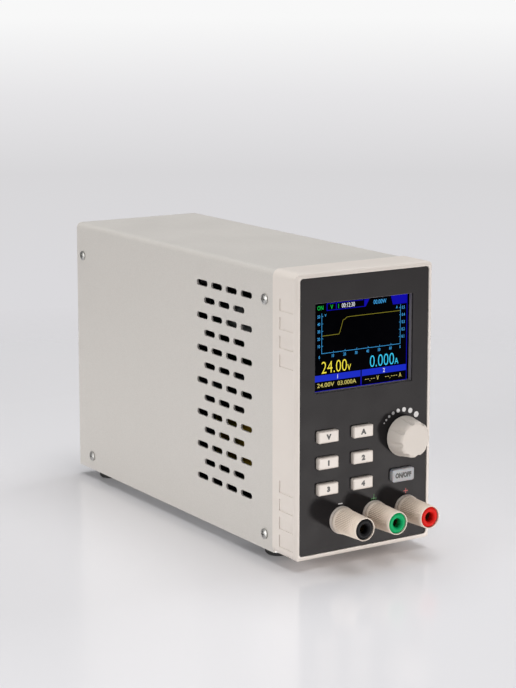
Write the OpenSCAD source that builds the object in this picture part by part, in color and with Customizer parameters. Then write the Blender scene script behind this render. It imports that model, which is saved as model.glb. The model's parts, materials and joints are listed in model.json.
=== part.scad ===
// Compact bench power supply in a folded steel case with a moulded front bezel.
// X runs to the right seen from the front, Y runs from the front to the rear, Z is up.
// The origin is on the surface under the feet, below the middle of the whole unit.
// Most pieces are drawn in the case's own frame: X from its middle, Y from the bezel's
// front face, Z from the bezel's underside. Pieces on the front panel are drawn with
// their own Z pointing out of the panel.

/* [Case] */
// Width of the front bezel
case_w = 82; // [82:1:100]
// Height of the front bezel, without the feet
case_h = 142; // [142:1:170]
// Depth from the bezel's front face to the cover's rear edge
case_d = 226; // [226:1:280]
// Thickness of the folded steel sheet
sheet_t = 1; // [0.8:0.1:1.2]
// How far the steel cover is set in from the bezel's sides and top
cover_inset = 0.8; // [0.5:0.1:1.2]
// Outer radius of the cover's two long bends
cover_bend_r = 3; // [2:0.1:4]
// Height of the feet
foot_h = 5; // [4:0.5:10]
// Largest radius of a foot
foot_r = 7; // [6:0.5:8]

/* [Front bezel] */
// Depth of the bezel
bezel_d = 20; // [20:0.5:26]
// Thickness of the bezel's outer walls
bezel_wall = 2.5; // [2:0.1:3]
// Thickness of the bezel's front wall behind the overlay
bezel_face_t = 1.6; // [1.4:0.1:2.2]
// Radius of the bezel's outer edges
bezel_edge_r = 2.4; // [1.5:0.1:2.6]
// Radius of the bezel's corners, seen from the front
bezel_corner_r = 4; // [3:0.1:5]
// Thickness of the dark front overlay
overlay_t = 1; // [0.8:0.1:1.4]
// How far the overlay lies below the bezel's rim
overlay_setback = 0.6; // [0.3:0.1:1]
// Width of the bezel's rim round the overlay
rim_w = 2.7; // [2.4:0.1:3.4]
// Radius of the overlay's corners
overlay_corner_r = 1.5; // [0.5:0.1:3]

/* [Display] */
// Distance from the bezel's sides to a window in its middle
window_side = 11.8; // [11.5:0.05:16]
// Distance from the bezel's top to the window's top edge
window_top = 15.4; // [14.4:0.1:16]
// Distance from the bezel's underside to the window's lower edge
window_bottom = 82.4; // [82:0.1:92]
// How far the window lies to the left of the middle
window_left = 0.1; // [0:0.05:1.2]

/* [Buttons] */
// Width of a small button
button_w = 12; // [10:0.1:13]
// Height of a small button
button_h = 6; // [5:0.1:6.6]
// How far the buttons stand out of the overlay
button_proud = 2; // [1.4:0.1:3]
// Travel of a button
button_travel = 0.5; // [0.3:0.05:0.6]
// How far the second button column lies left of the middle of the room it has
second_column_left = 1.5; // [0:0.1:3]
// Distance between the button rows
button_pitch_z = 13.05; // [12:0.05:13.2]
// Width of the output button
output_w = 13.8; // [12:0.1:15]
// Height of the output button
output_h = 6.8; // [6:0.1:7.4]

/* [Knob] */
// Diameter of the knob at the panel
knob_d = 20.5; // [19:0.1:21]
// Diameter of the knob's flat front
knob_front_d = 14.8; // [13:0.1:15]
// How far the knob stands out of the overlay
knob_h = 11.2; // [10.5:0.1:13]
// Number of grooves round the knob
knob_grooves = 8; // [6:1:12]
// Travel of the knob when it is pressed
knob_travel = 0.5; // [0.3:0.05:0.6]

/* [Binding posts] */
// Distance between neighbouring posts
post_pitch = 19.7; // [17:0.1:20]
// How far a closed post stands out of the overlay
post_len = 20.2; // [19:0.1:24]
// Radius of a post's base collar
post_base_r = 6.9; // [6.7:0.1:7.5]
// Diameter of the socket for a banana plug
socket_d = 4; // [3.8:0.05:4.2]
// How far the cap lifts when it is unscrewed
post_lift = 3; // [2:0.25:3]

/* [Side vents] */
// Least height of the lowest vent row above the bezel's underside
vent_bottom = 20; // [16:1:60]
// Length of a vent slot
vent_len = 10.6; // [8:0.1:11.6]
// Height of a vent slot
vent_h = 3.2; // [2:0.1:3.6]
// Distance between slots along a row
vent_pitch_y = 14.1; // [13:0.1:15]
// Distance between rows
vent_pitch_z = 8.48; // [7:0.01:8.6]

/* [Rear] */
// Outer size of the square fan
fan_size = 60; // [50:1:60]
// Depth of the fan
fan_t = 25; // [20:1:25]
// How far the wire guard stands behind the rear wall
guard_h = 4; // [3.8:0.1:6]
// Swing of the mains rocker between its two ends, in degrees
rocker_swing = 16; // [10:1:16]

/* [Inside] */
// Diameter of a mains capacitor
cap_d = 25; // [18:0.5:26]
// Length of a mains capacitor
cap_len = 44; // [30:1:46]

/* [Hidden] */
$fn = 64;

// Clearances
free_gap = 0.3;
fit_gap = 0.05;
snug_gap = 0.02;
seat_gap = 0.15;
cut = 1;

// Stations in the case frame
overlay_y = overlay_setback;
overlay_back_y = overlay_y + overlay_t;
wall_back_y = overlay_back_y + bezel_face_t;
button_depth = 6.2;
board_t = 1.6;
board_y = wall_back_y + button_depth;
cover_x = case_w / 2 - cover_inset;
cover_top = case_h - cover_inset;
cover_bottom = 0.2;
tray_x = cover_x - sheet_t - seat_gap;
rear_lip = 1;
rear_y = case_d - rear_lip;
front_most = overlay_y - post_len;
rear_most = rear_y + guard_h;
mid_y = (front_most + rear_most) / 2;

// Stations on the panel, with Z out of the overlay
wall_back = -(overlay_t + bezel_face_t);
board_face = wall_back - button_depth;

// Spots on the panel, X from the middle and Z from the bezel's underside
post_z = 17.6;
post_right_inset = 15;
post_x = [for (i = [2 : -1 : 0]) case_w / 2 - post_right_inset - i * post_pitch];
knob_right_inset = 17.6;
knob_z = 55.2;
knob_spot = [case_w / 2 - knob_right_inset, knob_z];
output_right_inset = 18.1;
output_z = 35.5;
output_spot = [case_w / 2 - output_right_inset, output_z];
button_left_inset = 18.7;
button_row_z = 34.8;
first_column = -case_w / 2 + button_left_inset;
second_column = (first_column + button_w / 2 + output_spot[0] - output_w / 2) / 2 - second_column_left;
small_spots = [for (row = [2 : -1 : 0], x = [first_column, second_column])
  [x, button_row_z + row * button_pitch_z]];
window_w = case_w - 2 * window_side;
window_h = case_h - window_top - window_bottom;
window_spot = [-window_left, window_bottom + window_h / 2];

// Colours
steel_grey = [0.78, 0.77, 0.74];
cream = [0.85, 0.82, 0.79];
charcoal = [0.22, 0.22, 0.22];
zinc = [0.75, 0.76, 0.78];
black = [0.08, 0.08, 0.08];
board_green = [0.1, 0.42, 0.2];
post_colours = [[0.1, 0.1, 0.1], [0.05, 0.7, 0.42], [0.88, 0.12, 0.1]];

// Places its children in the case's own frame
module in_case() translate([0, -mid_y, foot_h]) children();

// Puts children on the front panel with their Z pointing out of it
module on_panel(spot) in_case() translate([spot[0], overlay_y, spot[1]]) rotate([90, 0, 0]) children();

// Puts children on the rear wall with their Z pointing backwards and X to the right seen from behind
module on_rear(spot) in_case() translate([spot[0], rear_y, spot[1]]) rotate([90, 0, 180]) children();

// Extrudes a shape drawn in X and Z from one Y to another
module front_prism(y0, y1) translate([0, y1, 0]) rotate([90, 0, 0]) linear_extrude(y1 - y0) children();

// Extrudes a shape drawn in Y and Z from one X to another
module side_prism(x0, x1) translate([x0, 0, 0]) rotate([90, 0, 90]) linear_extrude(x1 - x0) children();

module box(low, high) translate(low) cube(high - low);

module rod_x(x0, x1, r, y, z) translate([x0, y, z]) rotate([0, 90, 0]) cylinder(h = x1 - x0, r = r);

module rod_y(y0, y1, r, x, z) translate([x, y1, z]) rotate([90, 0, 0]) cylinder(h = y1 - y0, r = r);

module rod_z(z0, z1, r, x = 0, y = 0) translate([x, y, z0]) cylinder(h = z1 - z0, r = r);

module rounded_rect(w, h, r) {
  square([w - 2 * r, h], center = true);
  square([w, h - 2 * r], center = true);
  for (sx = [-1, 1], sy = [-1, 1])
    translate([sx * (w / 2 - r), sy * (h / 2 - r)]) circle(r = r);
}

// A rectangle whose two corners at its upper end are rounded
module round_topped(w, low, high, r) {
  translate([-w / 2, low]) square([w, high - low - r]);
  translate([-w / 2 + r, low]) square([w - 2 * r, high - low]);
  for (sx = [-1, 1]) translate([sx * (w / 2 - r), high - r]) circle(r = r);
}

// A block with rounded sides whose upper edges are rounded too
module pillow(w, h, low, high, corner_r, edge_r) intersection() {
  translate([0, 0, low]) linear_extrude(high - low) rounded_rect(w, h, corner_r);
  translate([0, h, 0]) rotate([90, 0, 0]) linear_extrude(2 * h) round_topped(w, low - cut, high, edge_r);
  translate([-w, 0, 0]) rotate([90, 0, 90]) linear_extrude(2 * w) round_topped(h, low - cut, high, edge_r);
}

module ring(z0, z1, r_out, r_in) difference() {
  rod_z(z0, z1, r_out);
  rod_z(z0 - cut, z1 + cut, r_in);
}

module hex_nut(z0, z1, across, r_in) difference() {
  translate([0, 0, z0]) cylinder(h = z1 - z0, r = across / sqrt(3), $fn = 6);
  rod_z(z0 - cut, z1 + cut, r_in);
}

// A pan head screw whose head sits on Z = 0 and whose shank points down
module screw(head_r, head_t, shank_r, shank_len, recess = 0.8) difference() {
  union() {
    rod_z(-shank_len, head_t / 3, shank_r);
    intersection() {
      rod_z(0, head_t, head_r);
      translate([0, 0, head_t - 1.9 * head_r]) sphere(r = 1.9 * head_r);
    }
  }
  for (a = [0, 90]) rotate(a)
    translate([-head_r * 0.58, -head_r * 0.12, head_t - recess])
      cube([head_r * 1.16, head_r * 0.24, recess + cut]);
}

function unit(v) = v / norm(v);

// A point between b and c on the smooth curve through a, b, c and d
function smooth_point(a, b, c, d, t) =
  0.5 * (2 * b + (c - a) * t + (2 * a - 5 * b + 4 * c - d) * t * t + (3 * b - 3 * c + d - a) * t * t * t);

function smooth_path(p, steps) = [
  for (i = [0 : len(p) - 2], k = [0 : steps - 1])
    smooth_point(p[max(i - 1, 0)], p[i], p[i + 1], p[min(i + 2, len(p) - 1)], k / steps),
  p[len(p) - 1]];

// A length of insulated wire on a smooth curve through a list of points, none of it upright
module lead(points, r, sides = 8) {
  path = smooth_path(points, 3);
  last = len(path) - 1;
  rings = [for (i = [0 : last])
    let (d = unit(path[min(i + 1, last)] - path[max(i - 1, 0)]),
      s = unit(cross(d, [0, 0, 1])),
      u = cross(s, d))
      for (k = [0 : sides - 1]) path[i] + r * (cos(k * 360 / sides) * s + sin(k * 360 / sides) * u)];
  walls = [for (i = [0 : last - 1], k = [0 : sides - 1]) let (n = (k + 1) % sides)
    [i * sides + k, i * sides + n, (i + 1) * sides + n, (i + 1) * sides + k]];
  ends = [[for (k = [sides - 1 : -1 : 0]) k], [for (k = [0 : sides - 1]) last * sides + k]];
  polyhedron(rings, concat(walls, ends));
}

// Case: cover, chassis and front bracket

screw_r = 1.5;
screw_head_r = 2.65;
screw_head_t = 1.5;
flange_h = 16;
rear_flange_d = 16;
front_flange_d = 16;
front_screw_d = 8;
low_screw_z = 8;
front_screw_top = 16;
rear_screw_top = 19;
rear_screw_d = 7.4;
rear_low_screw_d = 15.8;
cover_screw_spots = [
  [bezel_d + front_screw_d, case_h - front_screw_top],
  [bezel_d + front_screw_d, low_screw_z],
  [case_d - rear_screw_d, case_h - rear_screw_top],
  [case_d - rear_low_screw_d, low_screw_z]];

module cover_outline(inset, r) {
  w = 2 * (cover_x - inset);
  round_topped(w, cover_bottom - (inset > 0 ? cut : 0), cover_top - inset, r);
}

vent_first_y = 25.2;
vent_top = 16.3;
vent_rows = floor((case_h - vent_top - vent_bottom) / vent_pitch_z) + 1;

module vent_slot() {
  square([vent_len - vent_h, vent_h], center = true);
  for (s = [-1, 1]) translate([s * (vent_len - vent_h) / 2, 0]) circle(d = vent_h);
}

module vents() for (row = [0 : vent_rows - 1]) {
  odd = row % 2;
  for (i = [0 : 3 - odd])
    translate([bezel_d + vent_first_y + (i + odd / 2) * vent_pitch_y,
      case_h - vent_top - row * vent_pitch_z]) vent_slot();
}

module cover() color(steel_grey) in_case() difference() {
  front_prism(bezel_d, case_d) cover_outline(0, cover_bend_r);
  front_prism(bezel_d - cut, case_d + cut) cover_outline(sheet_t, cover_bend_r - sheet_t);
  side_prism(-case_w, case_w) vents();
  for (p = cover_screw_spots) rod_x(-case_w, case_w, screw_r + fit_gap, p[0], p[1]);
}

// What folds to fit inside the cover, with its two long bends
module inside_cover(y0, y1) {
  inset = sheet_t + seat_gap;
  front_prism(y0, y1) cover_outline(inset, cover_bend_r - inset);
}

fan_top_inset = 12;
fan_wall = 1.5;
fan_spot = [0, case_h - fan_top_inset - fan_size / 2];
fan_hole_pitch = fan_size * 5 / 6;
fan_bore_r = fan_size / 2 - fan_wall;
mains_z = 30;
inlet_spot = [-10, mains_z];
inlet_screw_pitch = 40;
inlet_w = 27.4;
inlet_h = 19.6;
switch_right_inset = 14;
switch_spot = [case_w / 2 - switch_right_inset, mains_z];
switch_w = 13;
switch_h = 19;
tray_top = case_h - cover_inset - sheet_t - seat_gap;
foot_side_inset = 12;
foot_spots = [for (sx = [-1, 1], y = [bezel_d + 13, case_d - 17]) [sx * (case_w / 2 - foot_side_inset), y]];
bracket_y = bezel_d + sheet_t;
bracket_foot_w = case_w - 32;
front_foot_holes = [for (sx = [-1, 1]) [sx * (case_w / 2 - 23), bracket_y + 9]];
board_x = cover_x - sheet_t - seat_gap - 9;
board_y0 = bezel_d + 26;
board_y1 = case_d - 42;
board_z0 = 8;
board_z1 = case_h - 24;
bracket_x = tray_x - sheet_t - 1;
main_foot_w = 15;
main_foot_holes = [for (y = [board_y0 + 18, board_y1 - 18]) [bracket_x - 9, y]];

module rear_wall_holes() front_prism(rear_y - 2 * sheet_t, rear_y + cut) {
  translate(fan_spot) {
    circle(r = fan_bore_r - 0.5);
    for (sx = [-1, 1], sz = [-1, 1])
      translate([sx, sz] * fan_hole_pitch / 2) circle(r = 2.3);
  }
  translate(inlet_spot) {
    rounded_rect(inlet_w + 2 * snug_gap, inlet_h + 2 * snug_gap, 2);
    for (sx = [-1, 1]) translate([sx * inlet_screw_pitch / 2, 0]) circle(r = screw_r + fit_gap);
  }
  translate(switch_spot) square([switch_w + 2 * snug_gap, switch_h + 2 * snug_gap], center = true);
}

module chassis() color(zinc) in_case() difference() {
  union() {
    box([-tray_x, bezel_d, 0], [tray_x, rear_y, sheet_t]);
    for (sx = [-1, 1]) scale([sx, 1, 1])
      box([tray_x - sheet_t, bracket_y + seat_gap, 0], [tray_x, rear_y, flange_h]);
    intersection() {
      inside_cover(bezel_d, rear_y);
      union() {
        box([-tray_x, rear_y - sheet_t, 0], [tray_x, rear_y, tray_top]);
        box([-tray_x, rear_y - rear_flange_d, tray_top - sheet_t], [tray_x, rear_y, tray_top]);
        for (sx = [-1, 1]) scale([sx, 1, 1])
          box([tray_x - sheet_t, rear_y - rear_flange_d, 0], [tray_x, rear_y, tray_top]);
      }
    }
  }
  rear_wall_holes();
  for (p = cover_screw_spots) rod_x(-case_w, case_w, screw_r + snug_gap, p[0], p[1]);
  for (p = concat(foot_spots, front_foot_holes, main_foot_holes))
    rod_z(-cut, 2 * sheet_t, screw_r + snug_gap, p[0], p[1]);
}

boss_side_inset = 7.4;
boss_low_z = 7;
boss_top_inset = 6.6;
boss_spots = [for (sx = [-1, 1], z = [boss_low_z, case_h - boss_top_inset])
  [sx * (case_w / 2 - boss_side_inset), z]];
opening_side = 11;
opening_end = 14;

module front_bracket() color(zinc) in_case() difference() {
  intersection() {
    inside_cover(bezel_d, rear_y);
    union() {
      box([-tray_x, bezel_d, sheet_t], [tray_x, bracket_y, tray_top]);
      box([-bracket_foot_w / 2, bezel_d, sheet_t], [bracket_foot_w / 2, bracket_y + 18, 2 * sheet_t]);
      for (sx = [-1, 1]) scale([sx, 1, 1])
        box([tray_x - sheet_t, bezel_d, flange_h + free_gap], [tray_x, bracket_y + front_flange_d, tray_top]);
    }
  }
  front_prism(bezel_d - cut, bracket_y + cut) translate([0, case_h / 2 + 1])
    rounded_rect(case_w - 2 * opening_side, case_h - 2 * opening_end, 3);
  for (p = boss_spots) rod_y(bezel_d - cut, bracket_y + cut, screw_r + fit_gap, p[0], p[1]);
  for (p = cover_screw_spots) rod_x(-case_w, case_w, screw_r + snug_gap, p[0], p[1]);
  for (p = front_foot_holes) rod_z(0, 3 * sheet_t, screw_r + fit_gap, p[0], p[1]);
}

module feet() color(black) in_case() for (p = foot_spots) translate([p[0], p[1], -foot_h]) difference() {
  union() {
    cylinder(h = 0.8, r1 = foot_r - 1.2, r2 = foot_r - 0.4);
    translate([0, 0, 0.8]) cylinder(h = foot_h - 0.8, r1 = foot_r - 0.4, r2 = foot_r);
  }
  rod_z(-cut, foot_h - 2, screw_head_r + free_gap);
  rod_z(0, foot_h + cut, screw_r + fit_gap);
}

module foot_screws() color(zinc) in_case() for (p = foot_spots)
  translate([p[0], p[1], -2]) rotate([180, 0, 0]) screw(screw_head_r, screw_head_t, screw_r, 2 + sheet_t + 3);

cover_screw_len = 2 * sheet_t + 2.5;

module cover_screws() color(zinc) in_case() for (sx = [-1, 1], p = cover_screw_spots)
  translate([sx * cover_x, p[0], p[1]]) rotate([0, sx * 90, 0])
    screw(screw_head_r, screw_head_t, screw_r, cover_screw_len);

// Front: bezel, overlay, display and boards

recess_d = 0.4;
grip_y = [1.9, 13.9];
grip_h = 6;
grip_pitch = 9.1;
grip_top = 13.6;
grip_bottom = 11.1 - grip_h;
boss_r = 3.2;
board_boss_side = 7;
board_boss_z = [31.5, 76];
board_boss_spots = [for (sx = [-1, 1], z = board_boss_z) [sx * (case_w / 2 - board_boss_side), z]];
board_screw_r = 1.25;
insulator_r = 4.4;
bushing_r = 3.5;

module panel_outline(grow) translate([0, case_h / 2])
  rounded_rect(case_w - 2 * rim_w + 2 * grow, case_h - 2 * rim_w + 2 * grow, overlay_corner_r + grow);

module panel_holes(grow) {
  translate(window_spot) square([window_w, window_h], center = true);
  for (p = small_spots) translate(p)
    rounded_rect(button_w + 2 * free_gap, button_h + 2 * free_gap, 1.4);
  translate(output_spot) rounded_rect(output_w + 2 * free_gap, output_h + 2 * free_gap, 2.3);
  translate(knob_spot) circle(r = bushing_r + fit_gap + grow);
  for (x = post_x) translate([x, post_z]) circle(r = insulator_r + fit_gap);
}

module grips() for (i = [0 : 3]) {
  translate([grip_y[0], case_h - grip_top - grip_h - i * grip_pitch]) square([grip_y[1] - grip_y[0], grip_h]);
  translate([grip_y[0], grip_bottom + i * grip_pitch]) square([grip_y[1] - grip_y[0], grip_h]);
}

module bezel() color(cream) in_case() difference() {
  union() {
    difference() {
      translate([0, 0, case_h / 2]) rotate([90, 0, 0])
        pillow(case_w, case_h, -bezel_d, 0, bezel_corner_r, bezel_edge_r);
      front_prism(wall_back_y, bezel_d + cut) translate([0, case_h / 2])
        rounded_rect(case_w - 2 * bezel_wall, case_h - 2 * bezel_wall, 1);
    }
    for (p = boss_spots) rod_y(wall_back_y - cut / 2, bezel_d, boss_r, p[0], p[1]);
    for (p = board_boss_spots) rod_y(wall_back_y - cut / 2, board_y, boss_r - 0.4, p[0], p[1]);
  }
  front_prism(-cut, overlay_back_y) panel_outline(seat_gap);
  front_prism(0, wall_back_y + cut) panel_holes(0);
  for (p = boss_spots) rod_y(bezel_d - 10, bezel_d + cut, screw_r + snug_gap, p[0], p[1]);
  for (p = board_boss_spots) rod_y(board_y - 5, board_y + cut, board_screw_r + snug_gap, p[0], p[1]);
  for (sx = [-1, 1]) side_prism(sx * case_w / 2 - recess_d, sx * case_w / 2 + recess_d) grips();
}

module panel_overlay() color(charcoal) in_case() difference() {
  front_prism(overlay_y, overlay_back_y) panel_outline(0);
  front_prism(overlay_y - cut, overlay_back_y + cut) panel_holes(0.4);
}

module_margin = [11.7, 6.2];
module_w = window_w + module_margin[0];
module_h = window_h + module_margin[1];
glass_t = 1.2;
glass_margin = 1.5;
glass_set = 0.2;

module display_glass() color([0.02, 0.03, 0.08]) in_case()
  front_prism(wall_back_y + glass_set, wall_back_y + glass_set + glass_t) translate(window_spot)
    square([window_w, window_h] + [2, 2] * glass_margin, center = true);

module display_frame() color(zinc) in_case() difference() {
  front_prism(wall_back_y, board_y) translate(window_spot) square([module_w, module_h], center = true);
  front_prism(wall_back_y - cut, wall_back_y + glass_set + glass_t) translate(window_spot)
    square([window_w, window_h] + [2, 2] * (glass_margin + fit_gap), center = true);
}

control_z = [27.5, case_h - 11];
control_x = case_w / 2 - 4.2;
ribbon_x = 20;
ribbon_z = 84;
ribbon_w = 12;
ribbon_socket_t = 3;
chip_x = [-18, -4];
chip_size = [9, 1.8, 9];
chip_z = 44;

module control_board() color(board_green) in_case() difference() {
  union() {
    box([-control_x, board_y, control_z[0]], [control_x, board_y + board_t, control_z[1]]);
    box([ribbon_x - ribbon_w / 2, board_y + board_t, ribbon_z],
      [ribbon_x + ribbon_w / 2, board_y + board_t + ribbon_socket_t, ribbon_z + ribbon_w]);
    for (x = chip_x) translate([x, board_y + board_t, chip_z]) cube(chip_size);
  }
  for (p = board_boss_spots)
    rod_y(board_y - cut, board_y + board_t + cut, board_screw_r + fit_gap, p[0], p[1]);
}

// Buttons

plunger_r = 1.45;
flange_t = 0.9;
tact_h = 3.5;
tact_size = 6.2;
tact_bore_depth = 2;

module button(spot, w, h, corner_r, colour) color(colour) on_panel(spot) {
  pillow(w, h, wall_back - free_gap - flange_t / 2, button_proud, corner_r, 0.7);
  translate([0, 0, wall_back - free_gap - flange_t])
    linear_extrude(flange_t) rounded_rect(w + 1.6, h + 1.6, 0.6);
  rod_z(board_face + tact_h - tact_bore_depth + button_travel + free_gap,
    wall_back - free_gap - flange_t / 2, plunger_r);
}

module button_voltage() button(small_spots[0], button_w, button_h, 1.1, cream);
module button_current() button(small_spots[1], button_w, button_h, 1.1, cream);
module button_one() button(small_spots[2], button_w, button_h, 1.1, cream);
module button_two() button(small_spots[3], button_w, button_h, 1.1, cream);
module button_three() button(small_spots[4], button_w, button_h, 1.1, cream);
module button_four() button(small_spots[5], button_w, button_h, 1.1, cream);
module button_output() button(output_spot, output_w, output_h, 2, [0.67, 0.68, 0.73]);

module tact_switches() color(black) for (p = concat(small_spots, [output_spot])) on_panel(p) difference() {
  translate([0, 0, board_face + tact_h / 2]) cube([tact_size, tact_size, tact_h], center = true);
  rod_z(board_face + tact_h - tact_bore_depth, board_face + tact_h + cut, plunger_r + free_gap);
}

// Knob and encoder

knob_gap = knob_travel + 0.4;
shaft_r = 3;
bushing_top = 5;
push_disc_r = 3.2;
push_pin_r = 1;
encoder_cavity_top = -4;
encoder_nut_across = 10;
knob_cavity_top = bushing_top + knob_travel + 0.4;
shaft_top = knob_h - 2.2;
shaft_flat = 1.5;
shaft_bottom = encoder_cavity_top - 1.6;

module d_profile(r, flat) difference() {
  circle(r = r);
  translate([-2 * r, flat]) square([4 * r, r]);
}

module encoder_body() color(zinc) on_panel(knob_spot) difference() {
  union() {
    translate([0, 0, (board_face + wall_back) / 2]) cube([12, 12.4, wall_back - board_face], center = true);
    rod_z(wall_back - cut, bushing_top, bushing_r);
  }
  rod_z(board_face + 0.4, encoder_cavity_top, push_disc_r + 0.7);
  rod_z(encoder_cavity_top - cut, bushing_top + cut, shaft_r + fit_gap);
}

module encoder_nut() color(zinc) on_panel(knob_spot) hex_nut(0, 2, encoder_nut_across, bushing_r + snug_gap);

module encoder_push_rod() color(cream) on_panel(knob_spot) {
  rod_z(shaft_bottom - free_gap - 1.4, shaft_bottom - free_gap, push_disc_r);
  rod_z(shaft_bottom - free_gap - cut, shaft_bottom + 1.2, push_pin_r);
}

module encoder_shaft() color(zinc) on_panel(knob_spot) difference() {
  union() {
    rod_z(shaft_bottom, knob_cavity_top, shaft_r);
    translate([0, 0, knob_cavity_top - cut]) linear_extrude(shaft_top - knob_cavity_top + cut)
      d_profile(shaft_r, shaft_flat);
  }
  rod_z(shaft_bottom - cut, shaft_bottom + 1.6, push_pin_r + fit_gap);
}

knob_side_top = knob_h - 1.8;
knob_side_r = knob_front_d / 2 + 1.8;
groove_r = 1.8;
groove_deep = 0.9;
groove_shallow = 0.12;
groove_low = knob_gap + 1;
groove_turn = 0.28;

module knob() color(cream) on_panel(knob_spot) difference() {
  rotate_extrude() polygon([
    [0, knob_gap], [knob_d / 2 - 0.3, knob_gap], [knob_d / 2, knob_gap + 0.3],
    [knob_d / 2, knob_gap + 0.9], [knob_side_r, knob_side_top],
    [knob_front_d / 2 + 1, knob_h - 0.5], [knob_front_d / 2, knob_h], [0, knob_h]]);
  rod_z(0, knob_cavity_top, 7.2);
  translate([0, 0, knob_cavity_top - cut]) linear_extrude(shaft_top + free_gap - knob_cavity_top + cut)
    d_profile(shaft_r + snug_gap, shaft_flat + snug_gap);
  tilt = atan((knob_d / 2 - groove_shallow - knob_side_r + groove_deep) / (knob_side_top - groove_low));
  for (i = [0 : knob_grooves - 1]) rotate((i + groove_turn) * 360 / knob_grooves)
    translate([knob_d / 2 - groove_shallow + groove_r / cos(tilt), 0, groove_low])
      rotate([0, -tilt, 0]) rod_z(-knob_h, 2 * knob_h, groove_r);
}

// Binding posts

collar_t = 1.3;
stud_r = 3;
stud_top = post_len - 4;
wire_hole_r = 0.9;
wire_hole_z = collar_t + 0.45 * post_lift;
socket_depth = 12;
cap_low = collar_t + free_gap;
washer_t = 0.8;
washer_r = 5.3;
insert_r = 5.25;
insert_low = stud_top + free_gap;
cap_r_low = 6.35;
cap_r_high = 5.75;
insulator_t = 1.8;
lug_t = 0.6;
post_nut_t = 3;

module post_base(i) color([0.8, 0.79, 0.77]) on_panel([post_x[i], post_z]) difference() {
  union() {
    rotate_extrude() polygon([[0, 0], [post_base_r, 0], [post_base_r, collar_t - 0.3],
      [post_base_r - 0.3, collar_t], [0, collar_t]]);
    rod_z(wall_back - insulator_t, collar_t / 2, insulator_r);
  }
  rod_z(wall_back - 2 * insulator_t, collar_t + cut, stud_r + snug_gap);
}

module post_stud(i) color([0.8, 0.7, 0.45]) on_panel([post_x[i], post_z]) difference() {
  rod_z(wall_back - insulator_t - lug_t - post_nut_t - 2, stud_top, stud_r);
  rod_z(stud_top - socket_depth, stud_top + cut, socket_d / 2);
  translate([0, 0, wire_hole_z]) rotate([0, 90, 0]) cylinder(h = 4 * stud_r, r = wire_hole_r, center = true);
}

module clamp_washer(i) color(zinc) on_panel([post_x[i], post_z])
  ring(cap_low, cap_low + washer_t, washer_r, stud_r + fit_gap);

module post_cap(i) color(cream) on_panel([post_x[i], post_z]) difference() {
  rotate_extrude() polygon([
    [0, cap_low], [cap_r_low + 0.1, cap_low], [cap_r_low + 0.25, cap_low + 0.2],
    [cap_r_low + 0.25, cap_low + 1.5], [cap_r_low, cap_low + 1.9],
    [cap_r_high, post_len - 1], [cap_r_high, post_len - 0.3], [cap_r_high - 0.2, post_len], [0, post_len]]);
  rod_z(cap_low - cut, cap_low + washer_t + free_gap, washer_r + free_gap);
  rod_z(cap_low - cut, post_len, stud_r + fit_gap);
  rod_z(insert_low, post_len + cut, insert_r + snug_gap);
}

module post_insert(i) color(post_colours[i]) on_panel([post_x[i], post_z]) difference() {
  rotate_extrude() polygon([[0, insert_low], [insert_r, insert_low], [insert_r, post_len - 0.7],
    [insert_r - 0.5, post_len - 0.2], [0, post_len - 0.2]]);
  rod_z(insert_low - cut, post_len + cut, socket_d / 2 + 0.3);
}

module post_base_black() post_base(0);
module post_base_green() post_base(1);
module post_base_red() post_base(2);
module post_stud_black() post_stud(0);
module post_stud_green() post_stud(1);
module post_stud_red() post_stud(2);
module clamp_washer_black() clamp_washer(0);
module clamp_washer_green() clamp_washer(1);
module clamp_washer_red() clamp_washer(2);
module post_cap_black() post_cap(0);
module post_cap_green() post_cap(1);
module post_cap_red() post_cap(2);
module post_insert_black() post_insert(0);
module post_insert_green() post_insert(1);
module post_insert_red() post_insert(2);

lug_drop = 9.5;

module post_hardware() color(zinc) for (x = post_x) on_panel([x, post_z]) {
  ring(wall_back - insulator_t, wall_back, 6.2, insulator_r + snug_gap);
  difference() {
    translate([0, 0, wall_back - insulator_t - lug_t]) linear_extrude(lug_t) {
      circle(r = 5);
      translate([-1.6, -lug_drop]) square([3.2, lug_drop]);
    }
    rod_z(wall_back - 10, wall_back, stud_r + snug_gap);
  }
  translate([0, 0, wall_back - insulator_t - lug_t])
    hex_nut(-post_nut_t, 0, 10, stud_r + snug_gap);
}

// Rear: fan, guard, inlet and rocker switch

fan_y1 = rear_y - sheet_t;
fan_y0 = fan_y1 - fan_t;
hub_r = fan_size * 0.2;
rotor_shaft_r = 1.5;
fan_base_t = 3;

fan_screw_r = 2.15;

module fan_frame() color(black) in_case() {
  front_prism(fan_y0, fan_y1) translate(fan_spot) difference() {
    rounded_rect(fan_size, fan_size, 3);
    circle(r = fan_bore_r);
    for (sx = [-1, 1], sz = [-1, 1])
      translate([sx, sz] * fan_hole_pitch / 2) circle(r = fan_screw_r + fit_gap);
  }
  difference() {
    union() {
      rod_y(fan_y0, fan_y0 + fan_base_t, hub_r, fan_spot[0], fan_spot[1]);
      rod_y(fan_y0, fan_y0 + fan_t / 2, 3.5, fan_spot[0], fan_spot[1]);
      for (a = [45 : 90 : 315]) translate([fan_spot[0], fan_y0, fan_spot[1]]) rotate([0, a, 0])
        box([0, 0, -1.5], [fan_bore_r + 0.5, fan_base_t, 1.5]);
    }
    rod_y(fan_y0 + 1, fan_y1, rotor_shaft_r + fit_gap, fan_spot[0], fan_spot[1]);
  }
}

blades = 7;
blade_pitch = 38;
cup_low = fan_base_t + 1;

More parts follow.
